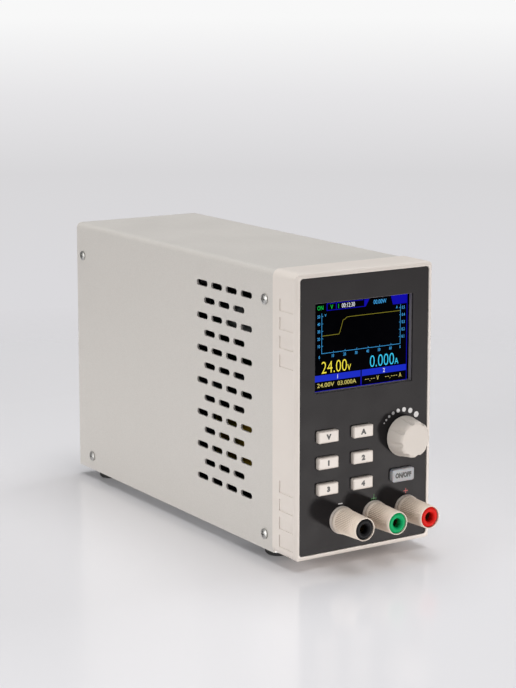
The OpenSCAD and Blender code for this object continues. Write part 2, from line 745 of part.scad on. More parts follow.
module fan_rotor() color([0.12, 0.12, 0.12]) in_case()
  translate([fan_spot[0], fan_y0, fan_spot[1]]) rotate([-90, 0, 0]) {
    difference() {
      rod_z(cup_low, fan_t - 2, hub_r);
      rod_z(cup_low - cut, fan_t - 4, hub_r - 1.2);
    }
    rod_z(1 + free_gap, fan_t - 3, rotor_shaft_r);
    for (i = [0 : blades - 1]) rotate(i * 360 / blades) intersection() {
      translate([hub_r - 0.6, 0, fan_t / 2]) rotate([blade_pitch, 0, 0])
        translate([0, -0.6, -fan_t]) cube([fan_bore_r - hub_r - 0.4, 1.2, 2 * fan_t]);
      rod_z(cup_low + 0.5, fan_t - 2.5, fan_bore_r - 1);
    }
  }

wire_r = 0.8;
eyelet_r = 3.2;
eyelet_stem = 1.4;

module wire_ring(r, z) translate([0, 0, z]) rotate_extrude() translate([r, 0]) circle(r = wire_r);

module finger_guard() color(zinc) on_rear(fan_spot) {
  spoke_z = guard_h - wire_r;
  ring_z = spoke_z - 1.3;
  reach = fan_hole_pitch / sqrt(2) - eyelet_r - eyelet_stem;
  for (r = [fan_bore_r / 4, fan_bore_r / 2, fan_bore_r * 3 / 4, fan_bore_r]) wire_ring(r, ring_z);
  for (a = [45, 135]) rotate(a) {
    translate([-reach, 0, spoke_z]) rotate([0, 90, 0]) cylinder(h = 2 * reach, r = wire_r);
    for (s = [-1, 1]) {
      translate([s * reach, 0, spoke_z]) sphere(r = wire_r);
      rod_z(wire_r, spoke_z, wire_r, s * reach, 0);
      translate([s * reach, 0, wire_r]) {
        sphere(r = wire_r);
        rotate([0, s * 90, 0]) cylinder(h = eyelet_stem, r = wire_r);
        translate([s * (eyelet_stem + eyelet_r), 0, 0]) wire_ring(eyelet_r, 0);
      }
    }
  }
}

inlet_flange_t = 2;
inlet_depth = 22;
socket_w = 24.6;
socket_h = 16.6;
socket_depth_in = 17;
socket_bevel = 4.2;
pin_pitch = 14;
pin_size = [2, 4];
pin_rows = [-2, 2];
pin_tail = 6;
pin_spots = [[-pin_pitch / 2, pin_rows[0]], [pin_pitch / 2, pin_rows[0]], [0, pin_rows[1]]];

module inlet_housing() color(black) on_rear(inlet_spot) difference() {
  union() {
    linear_extrude(inlet_flange_t) rounded_rect(inlet_screw_pitch + 9, inlet_h + 3.4, 3);
    translate([0, 0, -inlet_depth]) linear_extrude(inlet_depth + cut) rounded_rect(inlet_w, inlet_h, 2);
  }
  translate([0, 0, inlet_flange_t - socket_depth_in]) linear_extrude(socket_depth_in + cut)
    polygon([[-socket_w / 2, -socket_h / 2], [socket_w / 2, -socket_h / 2],
      [socket_w / 2, socket_h / 2 - socket_bevel], [socket_w / 2 - socket_bevel, socket_h / 2],
      [-socket_w / 2 + socket_bevel, socket_h / 2], [-socket_w / 2, socket_h / 2 - socket_bevel]]);
  for (p = pin_spots) translate([p[0], p[1], -inlet_depth - cut]) linear_extrude(inlet_depth)
    square(pin_size + [2, 2] * snug_gap, center = true);
  for (sx = [-1, 1]) rod_z(-cut, inlet_flange_t + cut, screw_r + fit_gap, sx * inlet_screw_pitch / 2);
}

module inlet_pins() color([0.82, 0.76, 0.55]) on_rear(inlet_spot)
  for (p = pin_spots) translate([p[0], p[1], -inlet_depth - pin_tail])
    linear_extrude(inlet_depth + pin_tail) square(pin_size, center = true);

rocker_w = 10.4;
rocker_half = 7.8;
rocker_pivot = -2;
switch_flange_t = 1.6;
switch_depth = 15;
switch_tab = 6;
switch_tab_z = 5;
rocker_pin_r = 1;
switch_cavity = [rocker_w + 2 * free_gap, 17.4];

module switch_housing() color(black) on_rear(switch_spot) difference() {
  union() {
    linear_extrude(switch_flange_t) rounded_rect(switch_w + 2, switch_h + 2, 1.2);
    translate([-switch_w / 2, -switch_h / 2, -switch_depth]) cube([switch_w, switch_h, switch_depth + cut]);
    for (y = [-1, 1] * switch_tab_z) translate([-2.4, y - 0.4, -switch_depth - switch_tab])
      cube([4.8, 0.8, switch_tab + cut]);
  }
  translate([0, 0, 1 - 11]) linear_extrude(11 + cut) square(switch_cavity, center = true);
  translate([0, 0, rocker_pivot]) rotate([0, 90, 0])
    cylinder(h = switch_cavity[0] + 1.2, r = rocker_pin_r + fit_gap, center = true);
}

module power_rocker() color([0.06, 0.06, 0.06]) on_rear(switch_spot)
  translate([0, 0, rocker_pivot]) rotate([-rocker_swing / 2, 0, 0]) {
    translate([-rocker_w / 2, 0, 0]) rotate([90, 0, 90]) linear_extrude(rocker_w)
      polygon([[-rocker_half, 4.6], [0, 3.3], [rocker_half, 4.6], [rocker_half, 1], [3.4, -5], [-3.4, -5],
        [-rocker_half, 1]]);
    rotate([0, 90, 0]) cylinder(h = rocker_w + 1.4, r = rocker_pin_r, center = true);
  }

// Inside: main board, its bracket and its parts

standoff_r = 2.5;
standoff_spots = [for (y = [board_y0 + 6, board_y1 - 6], z = [board_z0 + 6, board_z1 - 6]) [y, z]];

module board_bracket() color(zinc) in_case() difference() {
  union() {
    box([bracket_x - sheet_t, board_y0, sheet_t], [bracket_x, board_y1, board_z1]);
    box([bracket_x - main_foot_w, board_y0, sheet_t], [bracket_x, board_y1, 2 * sheet_t]);
  }
  for (p = standoff_spots) rod_x(0, case_w, board_screw_r + fit_gap, p[0], p[1]);
  for (p = main_foot_holes) rod_z(0, 3 * sheet_t, screw_r + fit_gap, p[0], p[1]);
}

module main_board() color(board_green) in_case() difference() {
  box([board_x, board_y0, board_z0], [board_x + board_t, board_y1, board_z1]);
  for (p = standoff_spots) rod_x(0, case_w, board_screw_r + fit_gap, p[0], p[1]);
}

module board_standoffs() color([0.8, 0.7, 0.45]) in_case() for (p = standoff_spots) difference() {
  rod_x(board_x + board_t, bracket_x - sheet_t, standoff_r, p[0], p[1]);
  rod_x(0, case_w, board_screw_r + snug_gap, p[0], p[1]);
}

board_len = board_y1 - board_y0;
board_h = board_z1 - board_z0;
core = [30, 0.3 * board_len, 0.42 * board_h];
core_spot = [board_y0 + 0.48 * board_len, board_z0 + 4 + core[2] / 2];
core_leg = 0.27 * core[1];

module transformer_core() color([0.18, 0.17, 0.17]) in_case()
  translate([board_x - core[0] / 2 - 3, core_spot[0], core_spot[1]]) difference() {
    cube(core, center = true);
    for (s = [-1, 1]) translate([0, s * core[1] / 4, 0])
      cube([core[0] + cut, core[1] / 2 - core_leg, core[2] - 2 * core_leg + 4], center = true);
  }

module transformer_winding() color([0.85, 0.72, 0.3]) in_case()
  translate([board_x - core[0] / 2 - 3, core_spot[0], core_spot[1]]) difference() {
    union() {
      cube([core[0] + 6, core[1] - 2 * core_leg + 3, core[2] - 2 * core_leg + 2], center = true);
      for (s = [-1, 1]) translate([s * (core[0] / 2 + 1.5), 0, 0])
        cube([3, core[1] - 4, core[2] - 2 * core_leg + 2], center = true);
    }
    cube([core[0] + 2 * fit_gap, core_leg + 2 * fit_gap, core[2]], center = true);
  }

cap_spots = [for (i = [0, 1]) [board_y1 - 8 - cap_d / 2, board_z0 + 2 + cap_d / 2 + i * (cap_d + 2)]];

module bulk_capacitors() color([0.1, 0.12, 0.2]) in_case() for (p = cap_spots) difference() {
  rod_x(board_x - cap_len, board_x, cap_d / 2, p[0], p[1]);
  translate([board_x - cap_len + 3, p[0], p[1]]) rotate([0, 90, 0]) difference() {
    rod_z(0, 1.2, cap_d);
    rod_z(-cut, 1.2 + cut, cap_d / 2 - 0.6);
  }
}

sink_w = 50;
sink_margin = 14;
sink_len = board_len / 2 - sink_margin - 11;
sink_base = 3;
sink_fin = 15;
fin_t = 1.4;
fins = 8;
sink_z = board_z1 - 24;
sink_ys = [board_y0 + sink_margin, board_y1 - sink_margin - sink_len];
transistor = [21, 16, 5];
transistor_pitch = 22;
transistor_side = 9;

module heatsinks() color([0.5, 0.51, 0.53]) in_case() for (y0 = sink_ys)
  front_prism(y0, y0 + sink_len) {
    translate([board_x - sink_w, sink_z]) square([sink_w, sink_base]);
    for (i = [0 : fins - 1])
      translate([board_x - sink_w + i * (sink_w - fin_t) / (fins - 1), sink_z + sink_base - 0.5])
        square([fin_t, sink_fin]);
  }

module power_transistors() color(black) in_case()
  for (y0 = sink_ys, y = [y0 + 3 : transistor_pitch : y0 + sink_len - transistor[1]])
    translate([board_x - transistor_side - transistor[0], y, sink_z - transistor[2]]) cube(transistor);

toroid_r = 0.087 * board_len;
toroid_wire_r = 0.04 * board_len;
toroid_spot = [board_y0 + 0.15 * board_len, board_z0 + 36];

module toroid_choke() color([0.75, 0.45, 0.2]) in_case()
  translate([board_x, toroid_spot[0], toroid_spot[1]]) rotate([0, -90, 0]) {
    rod_z(0, 2, toroid_r + 2);
    translate([0, 0, toroid_wire_r + 1.6]) rotate_extrude()
      translate([toroid_r, 0]) circle(r = toroid_wire_r);
  }

// Wiring

lead_r = 1.4;
rear_lead_r = 1.1;
lead_start_gap = 0.6;
lead_end_x = board_x - 1;
lug_y = overlay_y - wall_back + insulator_t + lug_t + lead_start_gap;
lug_z = post_z - lug_drop + 2;

module output_leads() color([0.7, 0.1, 0.1]) in_case() for (i = [0 : 2])
  lead([[post_x[i], lug_y, lug_z], [post_x[i], lug_y + 6, lug_z],
    [post_x[i] - 1, bezel_d - 1, 19], [post_x[i] - 2, bracket_y + 8, 20 + 3 * i],
    [board_x - 12, board_y0 - 4, 18 + 6 * i], [board_x - 5, board_y0 + 1, 18 + 6 * i],
    [lead_end_x, board_y0 + 4, 18 + 6 * i]], lead_r);

module rear_leads() color([0.3, 0.3, 0.7]) in_case() {
  tab_y = rear_y - inlet_depth - pin_tail - lead_start_gap;
  line_x = inlet_spot[0] + pin_pitch / 2;
  neutral_x = inlet_spot[0] - pin_pitch / 2;
  low_z = inlet_spot[1] + pin_rows[0];
  high_z = inlet_spot[1] + pin_rows[1];
  switch_y = rear_y - switch_depth - switch_tab - lead_start_gap;
  switch_low = switch_spot[1] - switch_tab_z;
  switch_high = switch_spot[1] + switch_tab_z;
  end_y = board_y1 - 3;
  lead([[line_x, tab_y, low_z], [line_x, tab_y - 4, low_z], [line_x + 12, tab_y - 6, low_z - 1],
    [switch_spot[0] - 2, tab_y - 2, switch_low], [switch_spot[0], switch_y - 3, switch_low],
    [switch_spot[0], switch_y, switch_low]], rear_lead_r);
  lead([[switch_spot[0], switch_y, switch_high], [switch_spot[0], switch_y - 5, switch_high],
    [board_x - 5, end_y + 7, 44], [lead_end_x, end_y, 44]], rear_lead_r);
  lead([[neutral_x, tab_y, low_z], [neutral_x, tab_y - 5, low_z], [neutral_x + 24, tab_y - 9, 20],
    [board_x - 6, end_y + 2, 19], [lead_end_x, end_y, 19]], rear_lead_r);
  lead([[inlet_spot[0], tab_y, high_z], [inlet_spot[0], tab_y - 5, high_z],
    [inlet_spot[0] + 18, tab_y - 8, 35], [board_x - 6, end_y + 2, 34], [lead_end_x, end_y, 34]],
    rear_lead_r);
}

ribbon_t = 1;

module ribbon_cable() color([0.6, 0.6, 0.62]) in_case() {
  y0 = board_y + board_t + ribbon_socket_t;
  translate([0, 0, ribbon_z]) linear_extrude(ribbon_w) polygon([
    [ribbon_x, y0], [ribbon_x + ribbon_t, y0], [ribbon_x + ribbon_t, bracket_y + 4],
    [board_x - 1, board_y0 - 2], [board_x, board_y0 + 6], [board_x - ribbon_t, board_y0 + 6],
    [board_x - 2, board_y0 - 1.5], [ribbon_x, bracket_y + 4.5]]);
}

// Screws of the bezel, the boards, the brackets, the fan and the inlet

module other_screws() color(zinc) {
  in_case() {
    for (p = boss_spots) translate([p[0], bracket_y, p[1]]) rotate([-90, 0, 0])
      screw(screw_head_r, screw_head_t, screw_r, 8);
    for (p = board_boss_spots) translate([p[0], board_y + board_t, p[1]]) rotate([-90, 0, 0])
      screw(2.2, 1.2, board_screw_r, board_t + 4);
    for (p = concat(front_foot_holes, main_foot_holes)) translate([p[0], p[1], 2 * sheet_t])
      screw(screw_head_r, screw_head_t, screw_r, 2 * sheet_t);
    for (p = standoff_spots) translate([board_x, p[0], p[1]]) rotate([0, -90, 0])
      screw(2.2, 1.2, board_screw_r, board_t + 3);
  }
  on_rear(fan_spot) for (sx = [-1, 1], sy = [-1, 1])
    translate([sx * fan_hole_pitch / 2, sy * fan_hole_pitch / 2, 2 * wire_r])
      screw(3.4, 1.6, fan_screw_r, 12);
  on_rear(inlet_spot) for (sx = [-1, 1])
    translate([sx * inlet_screw_pitch / 2, 0, inlet_flange_t]) screw(screw_head_r, screw_head_t, screw_r, 6);
}

chassis();
cover();
bezel();
front_bracket();
panel_overlay();
display_glass();
display_frame();
control_board();
tact_switches();
button_voltage();
button_current();
button_one();
button_two();
button_three();
button_four();
button_output();
encoder_body();
encoder_nut();
encoder_push_rod();
encoder_shaft();
knob();
post_base_black();
post_base_green();
post_base_red();
post_stud_black();
post_stud_green();
post_stud_red();
clamp_washer_black();
clamp_washer_green();
clamp_washer_red();
post_cap_black();
post_cap_green();
post_cap_red();
post_insert_black();
post_insert_green();
post_insert_red();
post_hardware();
fan_frame();
fan_rotor();
finger_guard();
inlet_housing();
inlet_pins();
switch_housing();
power_rocker();
main_board();
board_bracket();
board_standoffs();
transformer_core();
transformer_winding();
bulk_capacitors();
heatsinks();
power_transistors();
toroid_choke();
output_leads();
rear_leads();
ribbon_cable();
feet();
foot_screws();
cover_screws();
other_screws();
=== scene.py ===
import json
import math

import bmesh
import bpy
from mathutils import Matrix, Vector


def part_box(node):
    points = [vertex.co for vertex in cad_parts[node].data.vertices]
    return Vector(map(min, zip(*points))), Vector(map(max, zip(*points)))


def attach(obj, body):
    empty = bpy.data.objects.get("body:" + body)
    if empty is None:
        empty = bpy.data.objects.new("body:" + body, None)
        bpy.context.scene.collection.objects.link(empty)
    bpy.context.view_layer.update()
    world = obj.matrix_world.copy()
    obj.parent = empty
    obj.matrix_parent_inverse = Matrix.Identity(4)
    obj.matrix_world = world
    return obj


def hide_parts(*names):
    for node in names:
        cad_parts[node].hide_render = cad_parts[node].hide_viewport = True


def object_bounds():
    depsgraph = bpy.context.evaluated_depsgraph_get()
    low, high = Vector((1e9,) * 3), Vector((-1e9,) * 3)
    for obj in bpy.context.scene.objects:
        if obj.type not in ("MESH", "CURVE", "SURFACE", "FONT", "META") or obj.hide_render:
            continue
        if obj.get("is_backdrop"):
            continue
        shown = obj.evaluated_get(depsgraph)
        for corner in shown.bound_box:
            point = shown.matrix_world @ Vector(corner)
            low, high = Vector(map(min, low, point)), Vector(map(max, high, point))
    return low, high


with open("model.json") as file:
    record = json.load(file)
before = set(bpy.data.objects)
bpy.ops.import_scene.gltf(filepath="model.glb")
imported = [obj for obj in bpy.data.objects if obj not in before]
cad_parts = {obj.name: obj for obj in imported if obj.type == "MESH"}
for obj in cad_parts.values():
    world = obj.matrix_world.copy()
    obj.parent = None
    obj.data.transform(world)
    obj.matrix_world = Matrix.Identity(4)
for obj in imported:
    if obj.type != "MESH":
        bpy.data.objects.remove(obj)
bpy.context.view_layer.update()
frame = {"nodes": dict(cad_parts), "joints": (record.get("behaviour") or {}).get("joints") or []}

# Cover
# A single sheet of 1 mm steel folded down over the case, with slots punched in both sides.
# It is powder coated in a warm light grey whose skin shows a very fine orange peel.
mm = 0.001


def rgb(red, green, blue):
    """A colour written as seen, 0 to 255, for a shader."""
    seen = [value / 255 for value in (red, green, blue)]
    straight = [v / 12.92 if v <= 10 / 255 else ((v + 0.055) / 1.055) ** 2.4 for v in seen]
    return (*straight, 1.0)


class Finish:
    """A surface under way: one shader whose colour, roughness and relief follow patterns in metres."""

    def __init__(self, name, roughness, metallic=0.0, **sockets):
        self.material = bpy.data.materials.new(name)
        self.material.use_nodes = True
        self.tree = self.material.node_tree
        self.shader = self.tree.nodes["Principled BSDF"].inputs
        self.shader["Roughness"].default_value = roughness
        self.shader["Metallic"].default_value = metallic
        for socket, value in sockets.items():
            self.shader[socket.replace("_", " ")].default_value = value
        self.place = self.add("TexCoord", {}).outputs["Object"]

    def add(self, kind, inputs, **settings):
        node = self.tree.nodes.new("ShaderNode" + kind)
        for name, value in settings.items():
            setattr(node, name, value)
        for socket, value in inputs.items():
            self.join(value, node.inputs[socket])
        return node

    def join(self, value, socket):
        if isinstance(value, bpy.types.NodeSocket):
            self.tree.links.new(value, socket)
        else:
            socket.default_value = value

    def cloud(self, size, detail=2.0, drawn_out=(1, 1, 1)):
        """Soft noise with spots about size across, longer along an axis drawn out above 1."""
        scale = [1 / (size * s) for s in drawn_out]
        place = self.add("Mapping", {"Vector": self.place, "Scale": scale}).outputs[0]
        return self.add("TexNoise", {"Vector": place, "Scale": 1.0, "Detail": detail}).outputs[0]

    def axis(self, name):
        """The place along X, Y or Z, in metres."""
        return self.add("SeparateXYZ", {0: self.place}).outputs[name]

    def sum(self, operation, first, second=0.0):
        return self.add("Math", {0: first, 1: second}, operation=operation).outputs[0]

    def spread(self, pattern, low, high, start=0.3, end=0.7):
        """Turns a pattern's values from start to end into values from low to high."""
        sockets = {"Value": pattern, "From Min": start, "From Max": end, "To Min": low, "To Max": high}
        return self.add("MapRange", sockets).outputs[0]

    def colour(self, pattern, *stops):
        """Colours the surface by a pattern, through stops of place and colour."""
        ramp = self.add("ValToRGB", {"Fac": pattern})
        elements = ramp.color_ramp.elements
        while len(elements) < len(stops):
            elements.new(1.0)
        for element, (place, shade) in zip(elements, stops):
            element.position = place
            element.color = shade
        self.join(ramp.outputs[0], self.shader["Base Color"])

    def roughness(self, pattern, low, high):
        self.join(self.spread(pattern, low, high), self.shader["Roughness"])

    def relief(self, height, depth):
        """Raises the surface by up to depth, in metres."""
        bump = self.add("Bump", {"Height": height, "Distance": depth})
        self.join(bump.outputs[0], self.shader["Normal"])


def dress(finish, *nodes):
    """Gives pieces of the frame their finish."""
    for node in nodes:
        mesh = frame["nodes"][node].data
        mesh.materials.clear()
        mesh.materials.append(finish.material)


cover_paint = Finish("cover_paint", 0.5)
paint_flow = cover_paint.cloud(0.0011, 1.5)
cover_paint.colour(cover_paint.cloud(0.0004, 2.0), (0.35, rgb(196, 192, 187)), (0.65, rgb(203, 199, 194)))
cover_paint.roughness(cover_paint.cloud(0.03), 0.44, 0.54)
cover_paint.relief(paint_flow, 0.02 * mm)
dress(cover_paint, "cover")

# Chassis and brackets
# The tray with its rear wall, the front bracket and the board's bracket are folded from 1 mm sheet.
# All are zinc plated, so they are dull blue-grey with cloudy spangle and faint rolling lines.


def plated_sheet(name, dark, light, spangle):
    sheet = Finish(name, 0.42, metallic=1.0)
    clouds = sheet.cloud(spangle, 4.0)
    sheet.colour(clouds, (0.3, dark), (0.7, light))
    sheet.roughness(clouds, 0.34, 0.5)
    sheet.relief(sheet.cloud(0.0006, 2.0, (1, 14, 1)), 0.006 * mm)
    return sheet


zinc_sheet = plated_sheet("zinc_sheet", rgb(168, 170, 172), rgb(196, 197, 197), 0.006)
dress(zinc_sheet, "chassis", "front_bracket", "board_bracket", "display_frame", "encoder_body")

# Bezel
# One deep ABS moulding that closes the front of the case and carries everything on the panel.
# Its spark-eroded mould leaves a satin skin. Each side has four shallow grip recesses at its top and
# four at its bottom.


def satin_moulding(name, shade, darker, roughness=0.46, grain=0.00025):
    moulding = Finish(name, roughness)
    moulding.colour(moulding.cloud(0.02, 3.0), (0.3, darker), (0.7, shade))
    skin = moulding.cloud(grain, 3.0)
    moulding.roughness(skin, roughness - 0.05, roughness + 0.06)
    moulding.relief(skin, 0.006 * mm)
    return moulding


bezel_plastic = satin_moulding("bezel_plastic", rgb(220, 212, 205), rgb(216, 208, 201))
dress(bezel_plastic, "bezel")

# Front overlay
# A 1 mm polycarbonate sheet printed charcoal on the back and glued into the bezel's recess.
# Signs for the posts and a fan of growing dots round the knob are screen printed on its face.
overlay_low, overlay_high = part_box("panel_overlay")
overlay_face = overlay_low.y
panel_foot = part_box("bezel")[0].z
ink_t = 0.02 * mm
weld_d = 0.0002 * mm


def link(name, mesh, finish, body):
    """Puts a mesh in the scene as a piece that rides on a body of the frame."""
    piece = bpy.data.objects.new(name, mesh)
    bpy.context.scene.collection.objects.link(piece)
    mesh.materials.append(finish.material)
    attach(piece, body)
    return piece


def finished_mesh(name, solid):
    """Makes a mesh of a closed shape, with all its faces turned outwards."""
    bmesh.ops.recalc_face_normals(solid, faces=solid.faces)
    mesh = bpy.data.meshes.new(name)
    solid.to_mesh(mesh)
    solid.free()
    return mesh


class Marks:
    """Flat marks of one ink on a plane that faces the front, each a thin closed solid."""

    def __init__(self, face):
        self.solid = bmesh.new()
        self.face = face

    def shape(self, outline):
        """A flat shape whose outline is a list of places across and up the panel."""
        back = [self.solid.verts.new((x, self.face, z)) for x, z in outline]
        front = [self.solid.verts.new((x, self.face - ink_t, z)) for x, z in outline]
        self.solid.faces.new(front)
        self.solid.faces.new(back[::-1])
        for i in range(len(outline)):
            j = (i + 1) % len(outline)
            self.solid.faces.new((front[i], back[i], back[j], front[j]))

    def bar(self, x0, z0, x1, z1):
        self.shape([(x0, z0), (x1, z0), (x1, z1), (x0, z1)])

    def line(self, start, end, width):
        start, end = Vector(start), Vector(end)
        side = (end - start).normalized().orthogonal() * width / 2
        self.shape([start - side, end - side, end + side, start + side])

    def disc(self, x, z, radius, steps=40):
        turn = [2 * math.pi * i / steps for i in range(steps)]
        self.shape([(x + radius * math.cos(a), z + radius * math.sin(a)) for a in turn])

    def words(self, text, x, z, height, wide=1.0, align=0.5, bold=0.0, span=None):
        """Letters of a height, with x at their left end, middle or right end for align 0, 0.5 or 1.

        They are drawn out by wide, or to fill span, and their strokes grow by bold.
        """
        curve = bpy.data.curves.new("letters", "FONT")
        curve.body = text
        curve.extrude = 0.5
        curve.offset = bold
        curve.resolution_u = 3
        letters = bpy.data.objects.new("letters", curve)
        bpy.context.scene.collection.objects.link(letters)
        drawn = letters.evaluated_get(bpy.context.evaluated_depsgraph_get())
        mesh = bpy.data.meshes.new_from_object(drawn)
        bpy.data.objects.remove(letters)
        low = Vector([min(v.co[i] for v in mesh.vertices) for i in range(3)])
        high = Vector([max(v.co[i] for v in mesh.vertices) for i in range(3)])
        scale = height / (high.y - low.y)
        if span:
            wide = span / (high.x - low.x) / scale
        start = x - align * (high.x - low.x) * scale * wide
        for v in mesh.vertices:
            v.co = (start + (v.co.x - low.x) * scale * wide,
                    self.face - (v.co.z + 0.5) * ink_t,
                    z + (v.co.y - (low.y + high.y) / 2) * scale)
        self.solid.from_mesh(mesh)
        bpy.data.meshes.remove(mesh)

    def done(self, name, finish, body="case"):
        bmesh.ops.remove_doubles(self.solid, verts=self.solid.verts, dist=weld_d)
        link(name, finished_mesh(name, self.solid), finish, body)


def screen_ink(name, shade, edge):
    ink = Finish(name, 0.5)
    grain = ink.cloud(0.0002, 3.0)
    ink.colour(grain, (0.35, edge), (0.65, shade))
    ink.relief(grain, 0.004 * mm)
    return ink


overlay_film = Finish("overlay_film", 0.45, Specular_IOR_Level=0.06)
film_grain = overlay_film.cloud(0.00018, 3.0)
overlay_film.colour(film_grain, (0.3, rgb(44, 42, 43)), (0.7, rgb(48, 46, 47)))
overlay_film.roughness(overlay_film.cloud(0.012), 0.42, 0.48)
overlay_film.relief(film_grain, 0.005 * mm)
dress(overlay_film, "panel_overlay")

white_ink = screen_ink("white_ink", rgb(208, 206, 206), rgb(196, 194, 194))
green_ink = screen_ink("green_ink", rgb(34, 132, 44), rgb(28, 120, 40))
red_ink = screen_ink("red_ink", rgb(176, 40, 36), rgb(164, 34, 32))

white_marks = Marks(overlay_face)
dot_centre = (23.0 * mm, panel_foot + 55.1 * mm)
dot_reach = 13.28 * mm
dots, smallest_dot, dot_growth = 8, 0.42 * mm, 0.15 * mm
dot_angle, first_step, step_growth = 144.5, 8.4, 1.8
for i in range(dots):
    across = dot_reach * math.cos(math.radians(dot_angle))
    up = dot_reach * math.sin(math.radians(dot_angle))
    white_marks.disc(dot_centre[0] + across, dot_centre[1] + up, smallest_dot + dot_growth * i)
    dot_angle -= first_step + step_growth * i
minus_x, minus_z = -13.9 * mm, panel_foot + 25.8 * mm
minus_half, minus_t = 1.3 * mm, 0.42 * mm
white_marks.line((minus_x - minus_half, minus_z), (minus_x + minus_half, minus_z), minus_t)
white_marks.done("printed_white_marks", white_ink)

earth_x, earth_z = 6.3 * mm, panel_foot + 25.7 * mm
earth_half, earth_t, earth_stem, leg_lean, leg_drop = 1.5 * mm, 0.28 * mm, 2.0 * mm, 0.3 * mm, 1.2 * mm
earth_marks = Marks(overlay_face)
earth_marks.line((earth_x, earth_z), (earth_x, earth_z + earth_stem), 0.3 * mm)
earth_marks.bar(earth_x - earth_half, earth_z - earth_t, earth_x + earth_half, earth_z)
for leg in (-1.34 * mm, 0, 1.34 * mm):
    leg_x, leg_z = earth_x + leg, earth_z - earth_t
    earth_marks.line((leg_x, leg_z), (leg_x - leg_lean, leg_z - leg_drop), earth_t)
earth_marks.done("printed_earth_sign", green_ink)

plus_at = (25.9 * mm, panel_foot + 26.5 * mm)
plus_marks = Marks(overlay_face)
plus_reach, plus_half = 1.3 * mm, 0.2 * mm
plus_quarter = [(plus_half, plus_reach), (plus_half, plus_half), (plus_reach, plus_half)]
plus_outline = []
for side, rise in ((1, -1), (1, 1), (-1, 1), (-1, -1)):
    for across, up in plus_quarter if side != rise else plus_quarter[::-1]:
        plus_outline.append((plus_at[0] + side * across, plus_at[1] + rise * up))
plus_marks.shape(plus_outline)
plus_marks.done("printed_plus_sign", red_ink)

# Colour display
# A liquid crystal module in a folded frame sits behind the window, under a glossy black front glass.
# Its lit picture is drawn in plain generic figures, and black foam lines the window's edge.
glass_low, glass_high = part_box("display_glass")
glass_margin = 1.5 * mm
window_left, window_top = glass_low.x + glass_margin, glass_high.z - glass_margin
window_w = glass_high.x - glass_low.x - 2 * glass_margin
window_h = glass_high.z - glass_low.z - 2 * glass_margin
screen_left, screen_w = window_left + 1.3 * mm, window_w - 2.8 * mm
screen_top, screen_h = window_top - 1.0 * mm, window_h - 1.85 * mm

display_face = Finish("display_face", 0.1, Specular_IOR_Level=0.01)
display_face.colour(display_face.cloud(0.05), (0.3, rgb(2, 2, 4)), (0.7, rgb(4, 4, 7)))
display_face.roughness(display_face.cloud(0.004), 0.08, 0.12)
dress(display_face, "display_glass")


def on_screen(across, down):
    """A place on the lit picture, as shares of its width and height from the upper left."""
    return screen_left + across * screen_w, screen_top - down * screen_h


screen_dot, dot_gap = 0.09 * mm, 0.012 * mm


def lit_colour(name, shade):
    """One colour of the lit picture, crossed by the fine dark grid between the screen's dots."""
    lit = Finish(name, 0.16, Specular_IOR_Level=0.02)
    lit.shader["Base Color"].default_value = rgb(6, 6, 10)
    lit.shader["Emission Color"].default_value = shade
    grid = [lit.sum("PINGPONG", lit.axis(way), screen_dot) for way in ("X", "Z")]
    gap = lit.sum("MINIMUM", *grid)
    lit.join(lit.spread(gap, 0.8, 1.0, 0.0, dot_gap), lit.shader["Emission Strength"])
    return lit


class Picture(Marks):
    """Lit marks, placed by shares of the picture's width and height."""

    def __init__(self, layer=1):
        super().__init__(glass_low.y - (layer - 1) * ink_t)

    def field(self, left, top, right, bottom):
        self.bar(*on_screen(left, bottom), *on_screen(right, top))

    def stroke(self, start, end, width=0.2 * mm):
        self.line(on_screen(*start), on_screen(*end), width)

    def figures(self, text, across, down, height, wide=0.8, align=0.5, bold=0.006, span=None):
        span = span and span * screen_w
        self.words(text, *on_screen(across, down), height * screen_h, wide, align, bold, span)


screen_blue = lit_colour("screen_blue", rgb(10, 6, 166))
screen_band_blue = lit_colour("screen_band_blue", rgb(18, 40, 196))
screen_light_blue = lit_colour("screen_light_blue", rgb(66, 166, 232))
screen_cyan = lit_colour("screen_cyan", rgb(60, 205, 246))
screen_yellow = lit_colour("screen_yellow", rgb(250, 232, 70))
screen_pale = lit_colour("screen_pale", rgb(206, 192, 104))
screen_olive = lit_colour("screen_olive", rgb(140, 132, 40))
screen_white = lit_colour("screen_white", rgb(226, 228, 236))
screen_green = lit_colour("screen_green", rgb(20, 190, 70))

fields = Picture()
fields.field(-0.023, -0.02, -0.017, 1.018)
fields.field(0.994, -0.02, 1.0, 1.018)
fields.field(-0.017, 1.006, 0.994, 1.018)
fields.field(0.13, 0.0, 0.52, 0.008)
fields.field(0.13, 0.078, 0.53, 0.086)
for post in (0.13, 0.228):
    fields.field(post, 0.008, post + 0.008, 0.078)
for slanted in (((0.53, 0.0), (0.585, 0.0), (0.545, 0.086), (0.53, 0.086)),
                ((0.815, -0.02), (0.994, -0.02), (0.994, 0.1), (0.842, 0.1))):
    fields.shape([on_screen(*corner) for corner in slanted])
fields.field(0.496, 0.9, 0.508, 1.006)
fields.done("screen_blue_fields", screen_blue)
bands = Picture()
bands.field(-0.017, 0.826, 0.496, 0.9)
bands.field(0.508, 0.826, 0.994, 0.9)
bands.done("screen_blue_bands", screen_band_blue)

